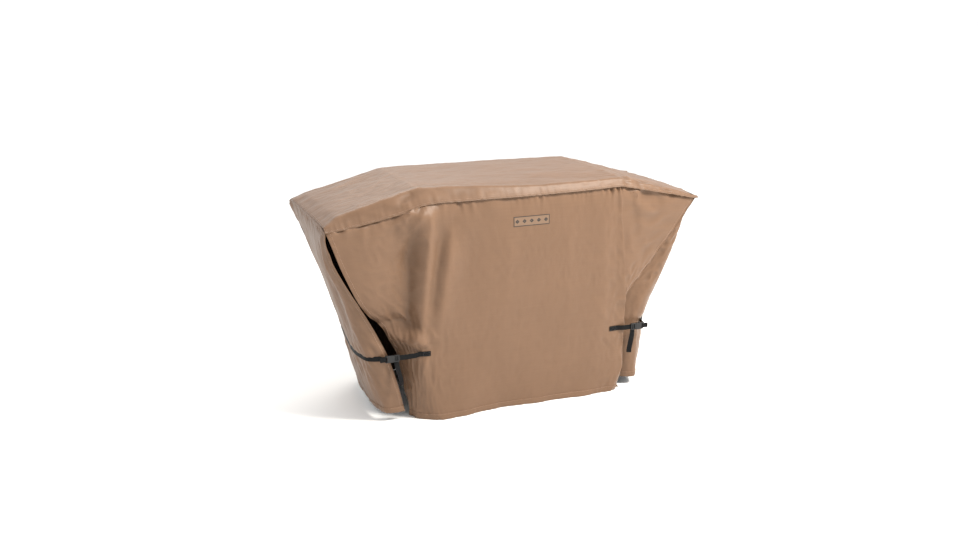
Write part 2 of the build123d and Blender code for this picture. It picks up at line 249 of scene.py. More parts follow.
@dataclass(frozen=True)
class Fold:
    """A ridge, or a valley where its height is negative, that falls from one point to another."""
    start: Plan
    end: Plan
    width: float
    height: float
    left: float = 0.0          # width of its left flank, or 0 for the same on both
    rise: float = 0.2          # share of the length over which it rises
    fade: float = 0.35         # share over which it fades
    flare: float = 0.6         # how much wider it grows

    def heights(self, across: Array, up: Array) -> Array:
        """Height over the face: a peaked bell curve of the distance from the fold's line.

        Args:
            across: Each point's place to the right, in metres.
            up: Each point's height or other second measure, in metres.

        Returns:
            A height for each point, which rises and fades along the fold.
        """
        run = np.array(self.end) - np.array(self.start)
        length = float(np.hypot(*run))
        right, above = across - self.start[0], up - self.start[1]
        along = (right * run[0] + above * run[1]) / length ** 2
        aside = (right * run[1] - above * run[0]) / length
        flank = np.where(aside > 0, self.left or self.width, self.width)
        width = flank * (1.0 + self.flare * np.clip(along, 0.0, 1.0))
        taper = smoothstep(along / self.rise) * smoothstep((1.0 - along) / self.fade)
        return self.height * taper * np.exp(-np.abs(aside / width) ** 1.6)


@dataclass
class Surface:
    """A panel's outer skin, as a grid of points with rows down and columns to the right."""
    points: Array
    crease: Array = field(default_factory=lambda: np.zeros((0, 0)))

    def normals(self) -> Array:
        """Outward unit normals: the way down crossed with the way to the right."""
        down = np.gradient(self.points, axis=0)
        right = np.gradient(self.points, axis=1)
        return unit(np.cross(down, right))

    def pushed(self, heights: Array | float) -> "Surface":
        """The surface moved outwards along its normals."""
        heights = np.broadcast_to(heights, self.points.shape[:2])
        return Surface(self.points + self.normals() * heights[..., None], self.crease)

    def turned(self, grid: Array, edge: Edge) -> Array:
        """A grid with this edge as its first row, or, done again, back as it was.

        Args:
            grid: Rows down and columns to the right.
            edge: The edge to bring to the top; the right one isn't brought back by doing it again.

        Returns:
            The same grid, flipped or transposed.
        """
        if edge is Edge.TOP:
            return grid
        if edge is Edge.FOOT:
            return grid[::-1]
        if edge is Edge.LEFT:
            return np.swapaxes(grid, 0, 1)
        return np.swapaxes(grid[:, ::-1], 0, 1)

    def line(self, edge: Edge, distance: float) -> tuple[Array, Array]:
        """The line at a distance from an edge, measured over the cloth.

        Args:
            edge: The edge to measure from.
            distance: Metres.

        Returns:
            Its points, and the outward normals there.
        """
        grid, normals = self.turned(self.points, edge), self.turned(self.normals(), edge)
        steps = np.linalg.norm(np.diff(grid, axis=0), axis=-1)
        reached = np.vstack([np.zeros(grid.shape[1]), np.cumsum(steps, axis=0)])
        low = np.clip((reached <= distance).sum(axis=0) - 1, 0, len(grid) - 2)
        column = np.arange(grid.shape[1])
        share = ((distance - reached[low, column]) / steps[low, column])[:, None]
        points = grid[low, column] * (1 - share) + grid[low + 1, column] * share
        return points, unit(normals[low, column] * (1 - share) + normals[low + 1, column] * share)

    def band(self, edge: Edge, near: float, far: float, count: int) -> "Surface":
        """The strip of the surface between two distances from an edge.

        Args:
            edge: The edge to measure from.
            near: The smaller distance, in metres.
            far: The larger distance, in metres.
            count: Number of lines over its width.

        Returns:
            The strip, with its rows down and its columns to the right.
        """
        lines = np.stack([self.line(edge, d)[0] for d in np.linspace(near, far, count)])
        if edge is Edge.RIGHT:
            return Surface(np.swapaxes(lines, 0, 1)[:, ::-1])
        return Surface(self.turned(lines, edge))

    def level(self, height: float) -> tuple[Array, Array]:
        """The line round the surface at one height.

        Args:
            height: Metres over the ground.

        Returns:
            One point for each column, and the outward normals there.
        """
        below = self.points[..., 2] <= height
        low = np.clip(below.argmax(axis=0), 1, len(self.points) - 1)
        column = np.arange(self.points.shape[1])
        over, under = self.points[low - 1, column], self.points[low, column]
        share = ((over[:, 2] - height) / (over[:, 2] - under[:, 2]))[:, None]
        return over * (1 - share) + under * share, self.normals()[low, column]


def draped(net: Array, shape: tuple[int, int], soft: float, crisp: float, creases: list[Crease],
           rng: np.random.Generator) -> tuple[Array, Rumpler]:
    """Spread a coarse net over a fine grid and round it, less where it is creased.

    Args:
        net: Given points, rows by columns by 3.
        shape: Rows and columns of the grid.
        soft: Rounding of the open cloth, in metres.
        crisp: Rounding of a crease, in metres.
        creases: Where the cloth is creased.
        rng: The panel's own random numbers.

    Returns:
        The grid's points, and the rumpler that draws waves for them.
    """
    grid, row_knots, height = spread(net, 0, shape[0])
    grid, column_knots, width = spread(grid, 1, shape[1])
    row_gap, column_gap = height / (shape[0] - 1), width / (shape[1] - 1)
    sharp = np.zeros(shape)
    for crease in creases:
        if crease.is_row:
            aside = (np.linspace(0, 1, shape[0]) - row_knots[crease.index]) * height
            near = np.exp(-(aside / crease.reach) ** 2)[:, None]
        else:
            aside = (np.linspace(0, 1, shape[1]) - column_knots[crease.index]) * width
            near = np.exp(-(aside / crease.reach) ** 2)[None, :]
        sharp = np.maximum(sharp, near * crease.keep)
    rounded = soften(grid, soft / row_gap, soft / column_gap)
    creased = soften(grid, crisp / row_gap, crisp / column_gap)
    points = rounded + (creased - rounded) * sharp[..., None]
    return points, Rumpler(rng, shape, row_gap, column_gap)


def proud(heights: Array, gap: float) -> Array:
    """How far each point stands above the cloth about 2 cm round it, as a share from 0 to 1."""
    level = soften(heights, 0.02 / gap, 0.02 / gap)
    rise = heights - level
    return np.clip(0.5 + rise / (4 * max(float(rise.std()), 1e-9)), 0.0, 1.0)


# ---- meshes --------------------------------------------------------------------------------------
def make_object(name: str, vertices: Array, faces: list[Array], materials: list[bpy.types.Material],
                slots: list[int] | None = None, flat: Array | None = None,
                crease: Array | None = None) -> bpy.types.Object:
    """Put arrays into a mesh object at the origin, smooth-shaded with sharp edges where it turns.

    Args:
        name: Name of the piece.
        vertices: Points, n by 3.
        faces: Arrays of corner numbers, each of faces with one number of corners.
        materials: Materials of the piece, in the order of its slots.
        slots: Material slot of each array of faces, or None for the first.
        flat: Place of each vertex on the flat cloth in metres, n by 2.
        crease: Share of each vertex for the crease attribute.

    Returns:
        The object, linked to the scene.
    """
    corners = np.concatenate([f.ravel() for f in faces])
    sizes = np.concatenate([np.full(len(f), f.shape[1]) for f in faces])
    mesh = bpy.data.meshes.new(name)
    mesh.vertices.add(len(vertices))
    mesh.vertices.foreach_set("co", vertices.astype(np.float32).ravel())
    mesh.loops.add(len(corners))
    mesh.loops.foreach_set("vertex_index", corners.astype(np.int32))
    mesh.polygons.add(len(sizes))
    mesh.polygons.foreach_set("loop_start", (np.cumsum(sizes) - sizes).astype(np.int32))
    for material in materials:
        mesh.materials.append(material)
    if slots is not None:
        index = np.concatenate([np.full(len(f), s) for f, s in zip(faces, slots)])
        mesh.polygons.foreach_set("material_index", index.astype(np.int32))
    mesh.update(calc_edges=True)
    if flat is not None:
        layer = mesh.uv_layers.new(name=FLAT_MAP)
        layer.data.foreach_set("uv", flat[corners].astype(np.float32).ravel())
    if crease is not None:
        attribute = mesh.attributes.new(CREASE, "FLOAT", "POINT")
        attribute.data.foreach_set("value", crease.astype(np.float32).ravel())
    mesh.polygons.foreach_set("use_smooth", np.ones(len(sizes), dtype=bool))
    mesh.set_sharp_from_angle(angle=SMOOTH_BELOW)
    piece = bpy.data.objects.new(name, mesh)
    bpy.context.scene.collection.objects.link(piece)
    return piece


def grid_faces(index: Array) -> Array:
    """Faces of a grid of vertex numbers, wound so that they face outwards."""
    corners = (index[:-1, :-1], index[1:, :-1], index[1:, 1:], index[:-1, 1:])
    return np.stack(corners, axis=-1).reshape(-1, 4)


def cloth_piece(name: str, surface: Surface, thickness: float, outside: bpy.types.Material,
                inside: bpy.types.Material | None = None) -> bpy.types.Object:
    """A closed cloth: the surface, the same surface set in by its thickness, and the cut edge.

    Args:
        name: Name of the piece.
        surface: Its outer skin.
        thickness: Metres.
        outside: Material of the outer skin and the cut edge.
        inside: Material of the inner skin, or None for the same as outside.

    Returns:
        The object.
    """
    outer = surface.points
    rows, columns = outer.shape[:2]
    inner = outer - surface.normals() * thickness
    index = np.arange(rows * columns).reshape(rows, columns)
    back = index + rows * columns
    rim = np.concatenate([index[0, :], index[1:, -1], index[-1, -2::-1], index[-2::-1, 0]])
    behind = rim + rows * columns
    edge = np.stack([rim[1:], behind[1:], behind[:-1], rim[:-1]], axis=-1)
    down = np.linalg.norm(np.diff(outer, axis=0), axis=-1).mean(axis=1)
    right = np.linalg.norm(np.diff(outer, axis=1), axis=-1).mean(axis=0)
    v = -np.concatenate([[0.0], np.cumsum(down)])
    u = np.concatenate([[0.0], np.cumsum(right)])
    flat = np.stack(np.meshgrid(u, v), axis=-1).reshape(-1, 2)
    crease = surface.crease if surface.crease.size else np.full((rows, columns), 0.5)
    return make_object(
        name, np.vstack([outer.reshape(-1, 3), inner.reshape(-1, 3)]),
        [grid_faces(index), grid_faces(back)[:, ::-1], edge],
        [outside, inside or outside], slots=[0, 1, 0],
        flat=np.vstack([flat, flat]), crease=np.concatenate([crease.ravel(), crease.ravel()]))


def ring_faces(count: int, around: int) -> list[Array]:
    """Faces of a closed tube.

    Args:
        count: Number of rings.
        around: Number of vertices in a ring.

    Returns:
        The faces of its wall, and the one face of each end.
    """
    index = np.arange(count * around).reshape(count, around)
    closed = np.hstack([index, index[:, :1]])
    corners = (closed[:-1, :-1], closed[:-1, 1:], closed[1:, 1:], closed[1:, :-1])
    return [np.stack(corners, axis=-1).reshape(-1, 4), index[:1, ::-1], index[-1:]]


STRAP_CORNERS = 20             # vertices in a ring of a strap


def strap_piece(name: str, path: Array, side: Array, width: float, thickness: float,
                material: bpy.types.Material) -> bpy.types.Object:
    """A flat strap: a flattened oval carried along a path.

    The oval's width follows a cosine and its thickness the fourth root of a sine, so that both faces
    are flat and the selvedges are rounded.

    Args:
        name: Name of the piece.
        path: Middle of the strap, n by 3.
        side: Direction of its width at each point, n by 3, or one direction.
        width: Metres.
        thickness: Metres.
        material: Its finish.

    Returns:
        The object.
    """
    ahead = unit(np.gradient(path, axis=0))
    side = np.broadcast_to(side, path.shape)
    side = unit(side - ahead * np.sum(side * ahead, axis=-1, keepdims=True))
    normal = np.cross(ahead, side)
    turn = np.linspace(0.0, 2 * math.pi, STRAP_CORNERS, endpoint=False)
    wide = width / 2 * np.cos(turn)
    high = thickness / 2 * np.sign(np.sin(turn)) * np.abs(np.sin(turn)) ** 0.25
    rings = (path[:, None] + side[:, None] * wide[None, :, None]
             + normal[:, None] * high[None, :, None])
    run = distances(path)
    flat = np.stack(np.broadcast_arrays(run[:, None], wide[None, :]), axis=-1).reshape(-1, 2)
    return make_object(name, rings.reshape(-1, 3), ring_faces(len(path), len(turn)), [material],
                       flat=flat)


def distances(path: Array) -> Array:
    """The distance along a path from its start to each of its points."""
    return np.concatenate([[0.0], np.cumsum(np.linalg.norm(np.diff(path, axis=0), axis=-1))])


def sampled(path: Array, run: Array, at: Array) -> Array:
    """The points of a path where its own measure, run, has the values at."""
    return np.stack([np.interp(at, run, path[:, k]) for k in range(3)], axis=-1)


def resampled(path: Array, step: float) -> Array:
    """A path with its points about one step apart."""
    run = distances(path)
    return sampled(path, run, np.linspace(0.0, run[-1], max(int(round(run[-1] / step)) + 1, 2)))


def rounded_path(corners: list[Place] | Array, step: float, sigma: float) -> Array:
    """A path through corners that are rounded by sigma metres, with its ends held."""
    path = resampled(np.asarray(corners, dtype=float), step)
    return softening(len(path), sigma / step) @ path


@dataclass(frozen=True)
class Stitch:
    """One kind of machine stitch, in metres."""
    pitch: float               # from one stitch to the next
    length: float              # of thread that shows
    radius: float              # of the thread


TOPSTITCH = Stitch(0.0055, 0.0040, 0.00055)
BAR_TACK = Stitch(0.0023, 0.0026, 0.0005)
BOX_STITCH = Stitch(0.0026, 0.0021, 0.0004)
LABEL_STITCH = Stitch(0.003, 0.0022, 0.0003)

# The five rings of a stitch: places along it as shares of its length, then thickness and height over
# the cloth as shares of the thread's radius.  Its two ends are thin and lie under the face.
RING_PLACES = np.array([-0.5, -0.36, 0.0, 0.36, 0.5])
RING_SWELLS = np.array([0.35, 0.85, 1.0, 0.85, 0.35])
RING_LIFTS = np.array([-0.6, 0.25, 0.6, 0.25, -0.6])
RING_CORNERS = 6


def stitch_parts(points: Array, normals: Array, stitch: Stitch) -> tuple[Array, list[Array]]:
    """Stitches along a line: each a short thread whose ends dive into the cloth.

    Args:
        points: The line.
        normals: Outward normals of the cloth along it.
        stitch: Its kind.

    Returns:
        Vertices, and the arrays of faces.
    """
    run = distances(points)
    at = np.arange(stitch.pitch / 2, run[-1], stitch.pitch)
    middle = sampled(points, run, at)
    ahead = sampled(points, run, at + 0.1 * stitch.pitch)
    normal = unit(sampled(normals, run, at))
    ahead = unit(ahead - middle + 1e-12)
    aside = unit(np.cross(normal, ahead))
    along = RING_PLACES * stitch.length
    swell = RING_SWELLS * stitch.radius
    lift = RING_LIFTS * stitch.radius
    turn = np.linspace(0.0, 2 * math.pi, RING_CORNERS, endpoint=False)
    centre = (middle[:, None] + ahead[:, None] * along[None, :, None]
              + normal[:, None] * lift[None, :, None])
    round_it = (aside[:, None, None] * np.cos(turn)[None, None, :, None]
                + normal[:, None, None] * np.sin(turn)[None, None, :, None])
    vertices = (centre[:, :, None] + round_it * swell[None, :, None, None]).reshape(-1, 3)
    each = len(along) * len(turn)
    start = np.arange(len(at))[:, None, None] * each
    faces = [(start + f[None]).reshape(-1, f.shape[1]) for f in ring_faces(len(along), len(turn))]
    return vertices, faces


def stitch_piece(name: str, lines: list[tuple[Array, Array]], material: bpy.types.Material,
                 stitch: Stitch = TOPSTITCH) -> bpy.types.Object:
    """One piece with the stitches of one or more lines.

    Args:
        name: Name of the piece.
        lines: Points and outward normals of each line.
        material: Its thread.
        stitch: Its kind.

    Returns:
        The object.
    """
    vertices, faces, base = [], [[], [], []], 0
    for points, normals in lines:
        more, sets = stitch_parts(points, normals, stitch)
        for kept, extra in zip(faces, sets):
            kept.append(extra + base)
        vertices.append(more)
        base += len(more)
    return make_object(name, np.vstack(vertices), [np.vstack(f) for f in faces], [material])


def hem_piece(name: str, surface: Surface, outside: bpy.types.Material,
              inside: bpy.types.Material) -> bpy.types.Object:
    """A turned-up hem: thicker than the cloth, and rounded at its fold by half an ellipse.

    Args:
        name: Name of the piece.
        surface: The panel whose foot it is.
        outside: Material of its outer face.
        inside: Material of its inner face.

    Returns:
        The object.
    """
    lines, rim, belly = 9, 0.0009, 0.0010
    share = np.linspace(1.0, 0.0, lines)[:, None]      # 1 at the stitched top, 0 at the fold
    swell = rim + belly * np.sqrt(np.maximum(1 - (2 * share - 1) ** 2, 0))
    band = surface.band(Edge.FOOT, 0.0, HEM_DEPTH, lines).pushed(swell)
    return cloth_piece(name, band, HEM_THICKNESS, outside, inside)


def hem_stitches(name: str, surface: Surface, thread: bpy.types.Material) -> bpy.types.Object:
    """The row of topstitching that holds a hem up."""
    line = surface.pushed(HEM_FACE).line(Edge.FOOT, HEM_DEPTH - HEM_MARGIN)
    return stitch_piece(name, [line], thread)


def rolled_edge(name: str, surface: Surface, edge: Edge,
                material: bpy.types.Material) -> bpy.types.Object:
    """A free edge rolled over: a thin oval roll of cloth carried along the softened edge.

    Args:
        name: Name of the piece.
        surface: The panel.
        edge: The free edge.
        material: The cloth.

    Returns:
        The object.
    """
    points, normals = surface.line(edge, 0.0008)
    path = softening(len(points), 1.5) @ points
    return strap_piece(name, path, normals, ROLL_WIDTH, ROLL_THICKNESS, material)


# ---- finishes ------------------------------------------------------------------------------------
WAVE_TURN = 2 * math.pi / 20   # length of one band of the wave texture at a scale of 1


def linear(colour: str) -> tuple[float, float, float, float]:
    """An sRGB hex colour as linear red, green, blue and alpha."""
    parts = [int(colour[i:i + 2], 16) / 255 for i in (1, 3, 5)]
    return (*[c / 12.92 if c <= 0.04045 else ((c + 0.055) / 1.055) ** 2.4 for c in parts], 1.0)


def add_node(tree: bpy.types.NodeTree, kind: str, inputs: dict | None = None,
             **settings: object) -> bpy.types.Node:
    """Add a node with its settings, values and links.

    Args:
        tree: The material's node tree.
        kind: Type of the node, without its ShaderNode prefix.
        inputs: A value, or an output socket to link, for each input by name or number.
        settings: Properties of the node itself.

    Returns:
        The node.
    """
    node = tree.nodes.new("ShaderNode" + kind)
    for name, value in settings.items():
        setattr(node, name, value)
    for name, value in (inputs or {}).items():
        if isinstance(value, bpy.types.NodeSocket):
            tree.links.new(value, node.inputs[name])
        else:
            node.inputs[name].default_value = value
    return node


def blank_material(name: str) -> tuple[bpy.types.Material, bpy.types.NodeTree]:
    """A new material with an empty node tree."""
    material = bpy.data.materials.new(name)
    material.use_nodes = True
    material.node_tree.nodes.clear()
    return material, material.node_tree


def add_ramp(tree: bpy.types.NodeTree, value: bpy.types.NodeSocket,
             stops: list[tuple[float, str]]) -> bpy.types.NodeSocket:
    """A colour for each value.

    Args:
        tree: The material's node tree.
        value: The value.
        stops: Position, from 0 to 1, and hex colour of each stop.

    Returns:
        The colour.
    """
    node = add_node(tree, "ValToRGB", {"Fac": value})
    elements = node.color_ramp.elements
    while len(elements) < len(stops):
        elements.new(0.5)
    for element, (position, colour) in zip(elements, stops):
        element.position = position
        element.color = linear(colour)
    return node.outputs["Color"]


def add_sum(tree: bpy.types.NodeTree, start: float,
            terms: list[tuple[bpy.types.NodeSocket, float]]) -> bpy.types.NodeSocket:
    """A start value plus each term times its factor.

    Args:
        tree: The material's node tree.
        start: The start value.
        terms: Each term with its factor.

    Returns:
        The sum.
    """
    total: object = start
    for socket, factor in terms:
        total = add_node(tree, "Math", {0: socket, 1: factor, 2: total},
                         operation="MULTIPLY_ADD").outputs[0]
    return total


@dataclass(frozen=True)
class CoatedWeave:
    """Polyester oxford cloth, woven and coated: satin, with faint streaks along the weft."""
    name: str = "coated_polyester_oxford"
    dark: str = "#5c4533"
    base: str = "#6c523e"
    light: str = "#7d604a"
    thread: float = 0.0011     # spacing of the drawn threads; real ones, at 0.5 mm, would not show
    streak: float = 0.006      # height of a weft streak
    crinkle: float = 0.022     # spacing of the fine crinkles left by folding
    roughness: float = 0.46

    def material(self) -> bpy.types.Material:
        """Threads and crinkles in the bump; streaks and blotches in the colour, with painted shade in
        the hollows of the folds and lighter ridges.
        """
        material, tree = blank_material(self.name)
        flat = add_node(tree, "UVMap", uv_map=FLAT_MAP).outputs[0]
        # Weft streaks: noise squeezed to a few millimetres high and drawn out along the threads.
        stretched = add_node(tree, "Mapping", {"Vector": flat, "Scale": (4.0, 1 / self.streak, 1.0)})
        streaks = add_node(tree, "TexNoise", {"Vector": stretched.outputs[0], "Scale": 1.0,
                                              "Detail": 3.0, "Roughness": 0.65})
        warp = add_node(tree, "Mapping", {"Vector": flat, "Scale": (1 / self.streak, 5.0, 1.0)})
        slubs = add_node(tree, "TexNoise", {"Vector": warp.outputs[0], "Scale": 0.8, "Detail": 2.0})
        blotches = add_node(tree, "TexNoise", {"Vector": flat, "Scale": 5.0, "Detail": 4.0})
        # Painted shade: the colour is darker in the hollows of the folds and lighter on their ridges.
        hollow_shade_and_ridge_tone = add_node(tree, "Attribute", attribute_name=CREASE).outputs["Fac"]
        tone = add_sum(tree, 0.08, [(streaks.outputs["Fac"], 0.22), (slubs.outputs["Fac"], 0.08),
                                    (blotches.outputs["Fac"], 0.24), (hollow_shade_and_ridge_tone, 0.30)])
        colour = add_ramp(tree, tone, [(0.0, self.dark), (0.5, self.base), (1.0, self.light)])
        # Threads over and under: the higher of two crossing waves.
        scale = WAVE_TURN / self.thread
        weft = add_node(tree, "TexWave", {"Vector": flat, "Scale": scale}, bands_direction="Y")
        ends = add_node(tree, "TexWave", {"Vector": flat, "Scale": scale}, bands_direction="X")
        threads = add_node(tree, "Math", {0: weft.outputs["Fac"], 1: ends.outputs["Fac"]},
                           operation="MAXIMUM")
        crinkles = add_node(tree, "TexNoise", {"Vector": flat, "Scale": 1 / self.crinkle,
                                               "Detail": 5.0, "Roughness": 0.55,
                                               "Distortion": 0.6})
        relief = add_node(tree, "Bump", {"Height": crinkles.outputs["Fac"], "Strength": 0.3,
                                         "Distance": 0.0012})
        fine = add_node(tree, "Bump", {"Height": threads.outputs[0], "Strength": 0.25,
                                       "Distance": 0.0002, "Normal": relief.outputs[0]})
        rough = add_sum(tree, self.roughness - 0.05, [(blotches.outputs["Fac"], 0.1)])
        shader = add_node(tree, "BsdfPrincipled", {
            "Base Color": colour, "Roughness": rough, "Normal": fine.outputs[0],
            "Specular IOR Level": 0.30, "Sheen Weight": 0.06, "Sheen Roughness": 0.45})
        add_node(tree, "OutputMaterial", {"Surface": shader.outputs[0]})
        return material


@dataclass(frozen=True)
class DarkBacking:
    """The coated inner face of the cloth: smoother than the outside, and much darker, as painted shade
    for the inside of the cover.
    """
    name: str = "polyurethane_backing"
    low: str = "#2a1b13"
    high: str = "#4a3425"

    def material(self) -> bpy.types.Material:
        """A dull film, slightly cloudy, with the crinkles of the cloth under it."""
        material, tree = blank_material(self.name)
        flat = add_node(tree, "UVMap", uv_map=FLAT_MAP).outputs[0]
        cloud = add_node(tree, "TexNoise", {"Vector": flat, "Scale": 9.0, "Detail": 4.0})
        # Painted shade: the film is dark because the inside of the cover lies in shade; the cloud
        # varies it at random.
        colour = add_ramp(tree, cloud.outputs["Fac"], [(0.3, self.low), (0.75, self.high)])
        relief = add_node(tree, "Bump", {"Height": cloud.outputs["Fac"], "Strength": 0.4,
                                         "Distance": 0.003})
        shader = add_node(tree, "BsdfPrincipled", {
            "Base Color": colour, "Normal": relief.outputs[0], "Roughness": 0.55,
            "Specular IOR Level": 0.15})
        add_node(tree, "OutputMaterial", {"Surface": shader.outputs[0]})
        return material


@dataclass(frozen=True)
class Webbing:
    """Polypropylene webbing, woven in a herringbone: black, dull, with a little shine on each rib."""
    name: str = "polypropylene_webbing"
    low: str = "#030304"
    high: str = "#0c0c0d"
    rib: float = 0.0022        # spacing of the ribs
    turn: float = 0.005        # distance over which the slant of the ribs turns back

    def material(self) -> bpy.types.Material:
        """Slanted ribs that turn back at the middle of the strap."""
        material, tree = blank_material(self.name)
        flat = add_node(tree, "UVMap", uv_map=FLAT_MAP).outputs[0]
        parts = add_node(tree, "SeparateXYZ", {0: flat})
        turned = add_node(tree, "Math", {0: parts.outputs[1], 1: self.turn}, operation="PINGPONG")
        slant = add_node(tree, "Math", {0: turned.outputs[0], 1: 1.0, 2: parts.outputs[0]},
                         operation="MULTIPLY_ADD")
        at = add_node(tree, "CombineXYZ", {0: slant.outputs[0]})
        ribs = add_node(tree, "TexWave", {"Vector": at.outputs[0], "Scale": WAVE_TURN / self.rib},
                        bands_direction="X")
        fuzz = add_node(tree, "TexNoise", {"Vector": flat, "Scale": 900.0, "Detail": 2.0})
        tone = add_sum(tree, 0.0, [(ribs.outputs["Fac"], 0.7), (fuzz.outputs["Fac"], 0.4)])
        colour = add_ramp(tree, tone, [(0.1, self.low), (0.95, self.high)])
        relief = add_node(tree, "Bump", {"Height": tone, "Strength": 0.7, "Distance": 0.0004})
        shader = add_node(tree, "BsdfPrincipled", {
            "Base Color": colour, "Normal": relief.outputs[0], "Roughness": 0.55,
            "Specular IOR Level": 0.15})
        add_node(tree, "OutputMaterial", {"Surface": shader.outputs[0]})
        return material


@dataclass(frozen=True)
class MouldedAcetal:
    """Acetal, injection moulded in a spark-finished tool: black and waxy, with a fine grain."""
    name: str = "moulded_acetal"
    low: str = "#08080a"
    high: str = "#141416"
    grain: float = 0.0006      # spacing of the moulded grain

    def material(self) -> bpy.types.Material:
        """A fine moulded grain, with rubbed, slightly shinier patches."""
        material, tree = blank_material(self.name)
        place = add_node(tree, "TexCoord").outputs["Object"]
        grain = add_node(tree, "TexNoise", {"Vector": place, "Scale": 1 / self.grain, "Detail": 2.0})
        rubbed = add_node(tree, "TexNoise", {"Vector": place, "Scale": 90.0, "Detail": 3.0})
        colour = add_ramp(tree, rubbed.outputs["Fac"], [(0.35, self.low), (0.8, self.high)])
        rough = add_sum(tree, 0.28, [(rubbed.outputs["Fac"], 0.22)])
        relief = add_node(tree, "Bump", {"Height": grain.outputs["Fac"], "Strength": 0.3,
                                         "Distance": 0.0001})
        shader = add_node(tree, "BsdfPrincipled", {
            "Base Color": colour, "Roughness": rough, "Normal": relief.outputs[0], "IOR": 1.48})
        add_node(tree, "OutputMaterial", {"Surface": shader.outputs[0]})
        return material


@dataclass(frozen=True)
class BondedThread:
    """Bonded polyester thread: twisted, with a slight gleam."""
    name: str
    low: str
    high: str
    twist: float = 0.0009      # spacing of the twist

    def material(self) -> bpy.types.Material:
        """Diagonal bands for the plies of the thread."""
        material, tree = blank_material(self.name)
        place = add_node(tree, "TexCoord").outputs["Object"]
        plies = add_node(tree, "TexWave", {"Vector": place, "Scale": WAVE_TURN / self.twist},
                         bands_direction="DIAGONAL")
        colour = add_ramp(tree, plies.outputs["Fac"], [(0.0, self.low), (1.0, self.high)])
        relief = add_node(tree, "Bump", {"Height": plies.outputs["Fac"], "Strength": 0.5,
                                         "Distance": 0.0002})
        shader = add_node(tree, "BsdfPrincipled", {
            "Base Color": colour, "Roughness": 0.42, "Normal": relief.outputs[0],
            "Sheen Weight": 0.2})
        add_node(tree, "OutputMaterial", {"Surface": shader.outputs[0]})
        return material


@dataclass(frozen=True)
class WovenLabel:
    """A damask label: a ground in the cloth's brown, with a near-black border and row of lozenges."""
    name: str = "damask_woven_label"
    ground: str = "#6f5641"
    figure: str = "#120c09"
    width: float = 0.150
    height: float = 0.038
    border: float = 0.0022
    repeat: float = 0.030      # from one lozenge to the next
    half_width: float = 0.013  # of a lozenge
    half_height: float = 0.012
    pick: float = 0.0007       # spacing of the drawn weft; the real one is too fine to show

    def material(self) -> bpy.types.Material:
        """Lozenges where |u|/a + |v|/b is under one, rings inside them, and a line round the edge."""
        material, tree = blank_material(self.name)
        flat = add_node(tree, "UVMap", uv_map=FLAT_MAP).outputs[0]
        centred = add_node(tree, "Mapping", {"Vector": flat, "Location": (
            -self.width / 2, self.height / 2, 0.0)})
        parts = add_node(tree, "SeparateXYZ", {0: centred.outputs[0]})
        u, v = parts.outputs[0], parts.outputs[1]
        # Distance from the middle of the nearest lozenge.
        shifted = add_node(tree, "Math", {0: u, 1: self.repeat / 2}, operation="PINGPONG")
        high = add_node(tree, "Math", {0: v}, operation="ABSOLUTE")
        lozenge = add_sum(tree, 0.0, [(shifted.outputs[0], 1 / self.half_width),
                                       (high.outputs[0], 1 / self.half_height)])
        rings = add_node(tree, "Math", {0: lozenge, 1: 0.42}, operation="PINGPONG")
        inside = add_node(tree, "Math", {0: lozenge, 1: 1.0}, operation="LESS_THAN")
        ringed = add_node(tree, "Math", {0: rings.outputs[0], 1: 0.17}, operation="GREATER_THAN")
        figure = add_node(tree, "Math", {0: inside.outputs[0], 1: ringed.outputs[0]},
                          operation="MULTIPLY")
        wide = add_node(tree, "Math", {0: u}, operation="ABSOLUTE")
        near_end = add_node(tree, "Math", {0: wide.outputs[0], 1: self.width / 2 - self.border},
                            operation="GREATER_THAN")
        near_side = add_node(tree, "Math", {0: high.outputs[0], 1: self.height / 2 - self.border},
                             operation="GREATER_THAN")
        border = add_node(tree, "Math", {0: near_end.outputs[0], 1: near_side.outputs[0]},
                          operation="MAXIMUM")
        drawn = add_node(tree, "Math", {0: border.outputs[0], 1: figure.outputs[0]},
                         operation="MAXIMUM")
        picks = add_node(tree, "TexWave", {"Vector": flat, "Scale": WAVE_TURN / self.pick},
                         bands_direction="Y")
        tone = add_sum(tree, 0.0, [(drawn.outputs[0], 0.85), (picks.outputs["Fac"], 0.15)])
        colour = add_ramp(tree, tone, [(0.0, self.ground), (0.2, self.ground), (0.85, self.figure)])
        relief = add_node(tree, "Bump", {"Height": tone, "Strength": 0.5, "Distance": 0.0003})
        shader = add_node(tree, "BsdfPrincipled", {
            "Base Color": colour, "Normal": relief.outputs[0], "Roughness": 0.6,
            "Sheen Weight": 0.2})
        add_node(tree, "OutputMaterial", {"Surface": shader.outputs[0]})
        return material


@dataclass(frozen=True)
class PaperSweep:
    """A roll of white background paper, brushed smooth."""
    name: str = "background_paper"
    colour: str = "#fafaf9"

    def material(self) -> bpy.types.Material:
        """Matt, with the faintest tooth."""
        material, tree = blank_material(self.name)
        place = add_node(tree, "TexCoord").outputs["Object"]
        tooth = add_node(tree, "TexNoise", {"Vector": place, "Scale": 300.0})
        relief = add_node(tree, "Bump", {"Height": tooth.outputs["Fac"], "Strength": 0.05,
                                         "Distance": 0.0002})
        shader = add_node(tree, "BsdfPrincipled", {
            "Base Color": linear(self.colour), "Roughness": 0.9, "Normal": relief.outputs[0],
            "Specular IOR Level": 0.1})
        add_node(tree, "OutputMaterial", {"Surface": shader.outputs[0]})
        return material


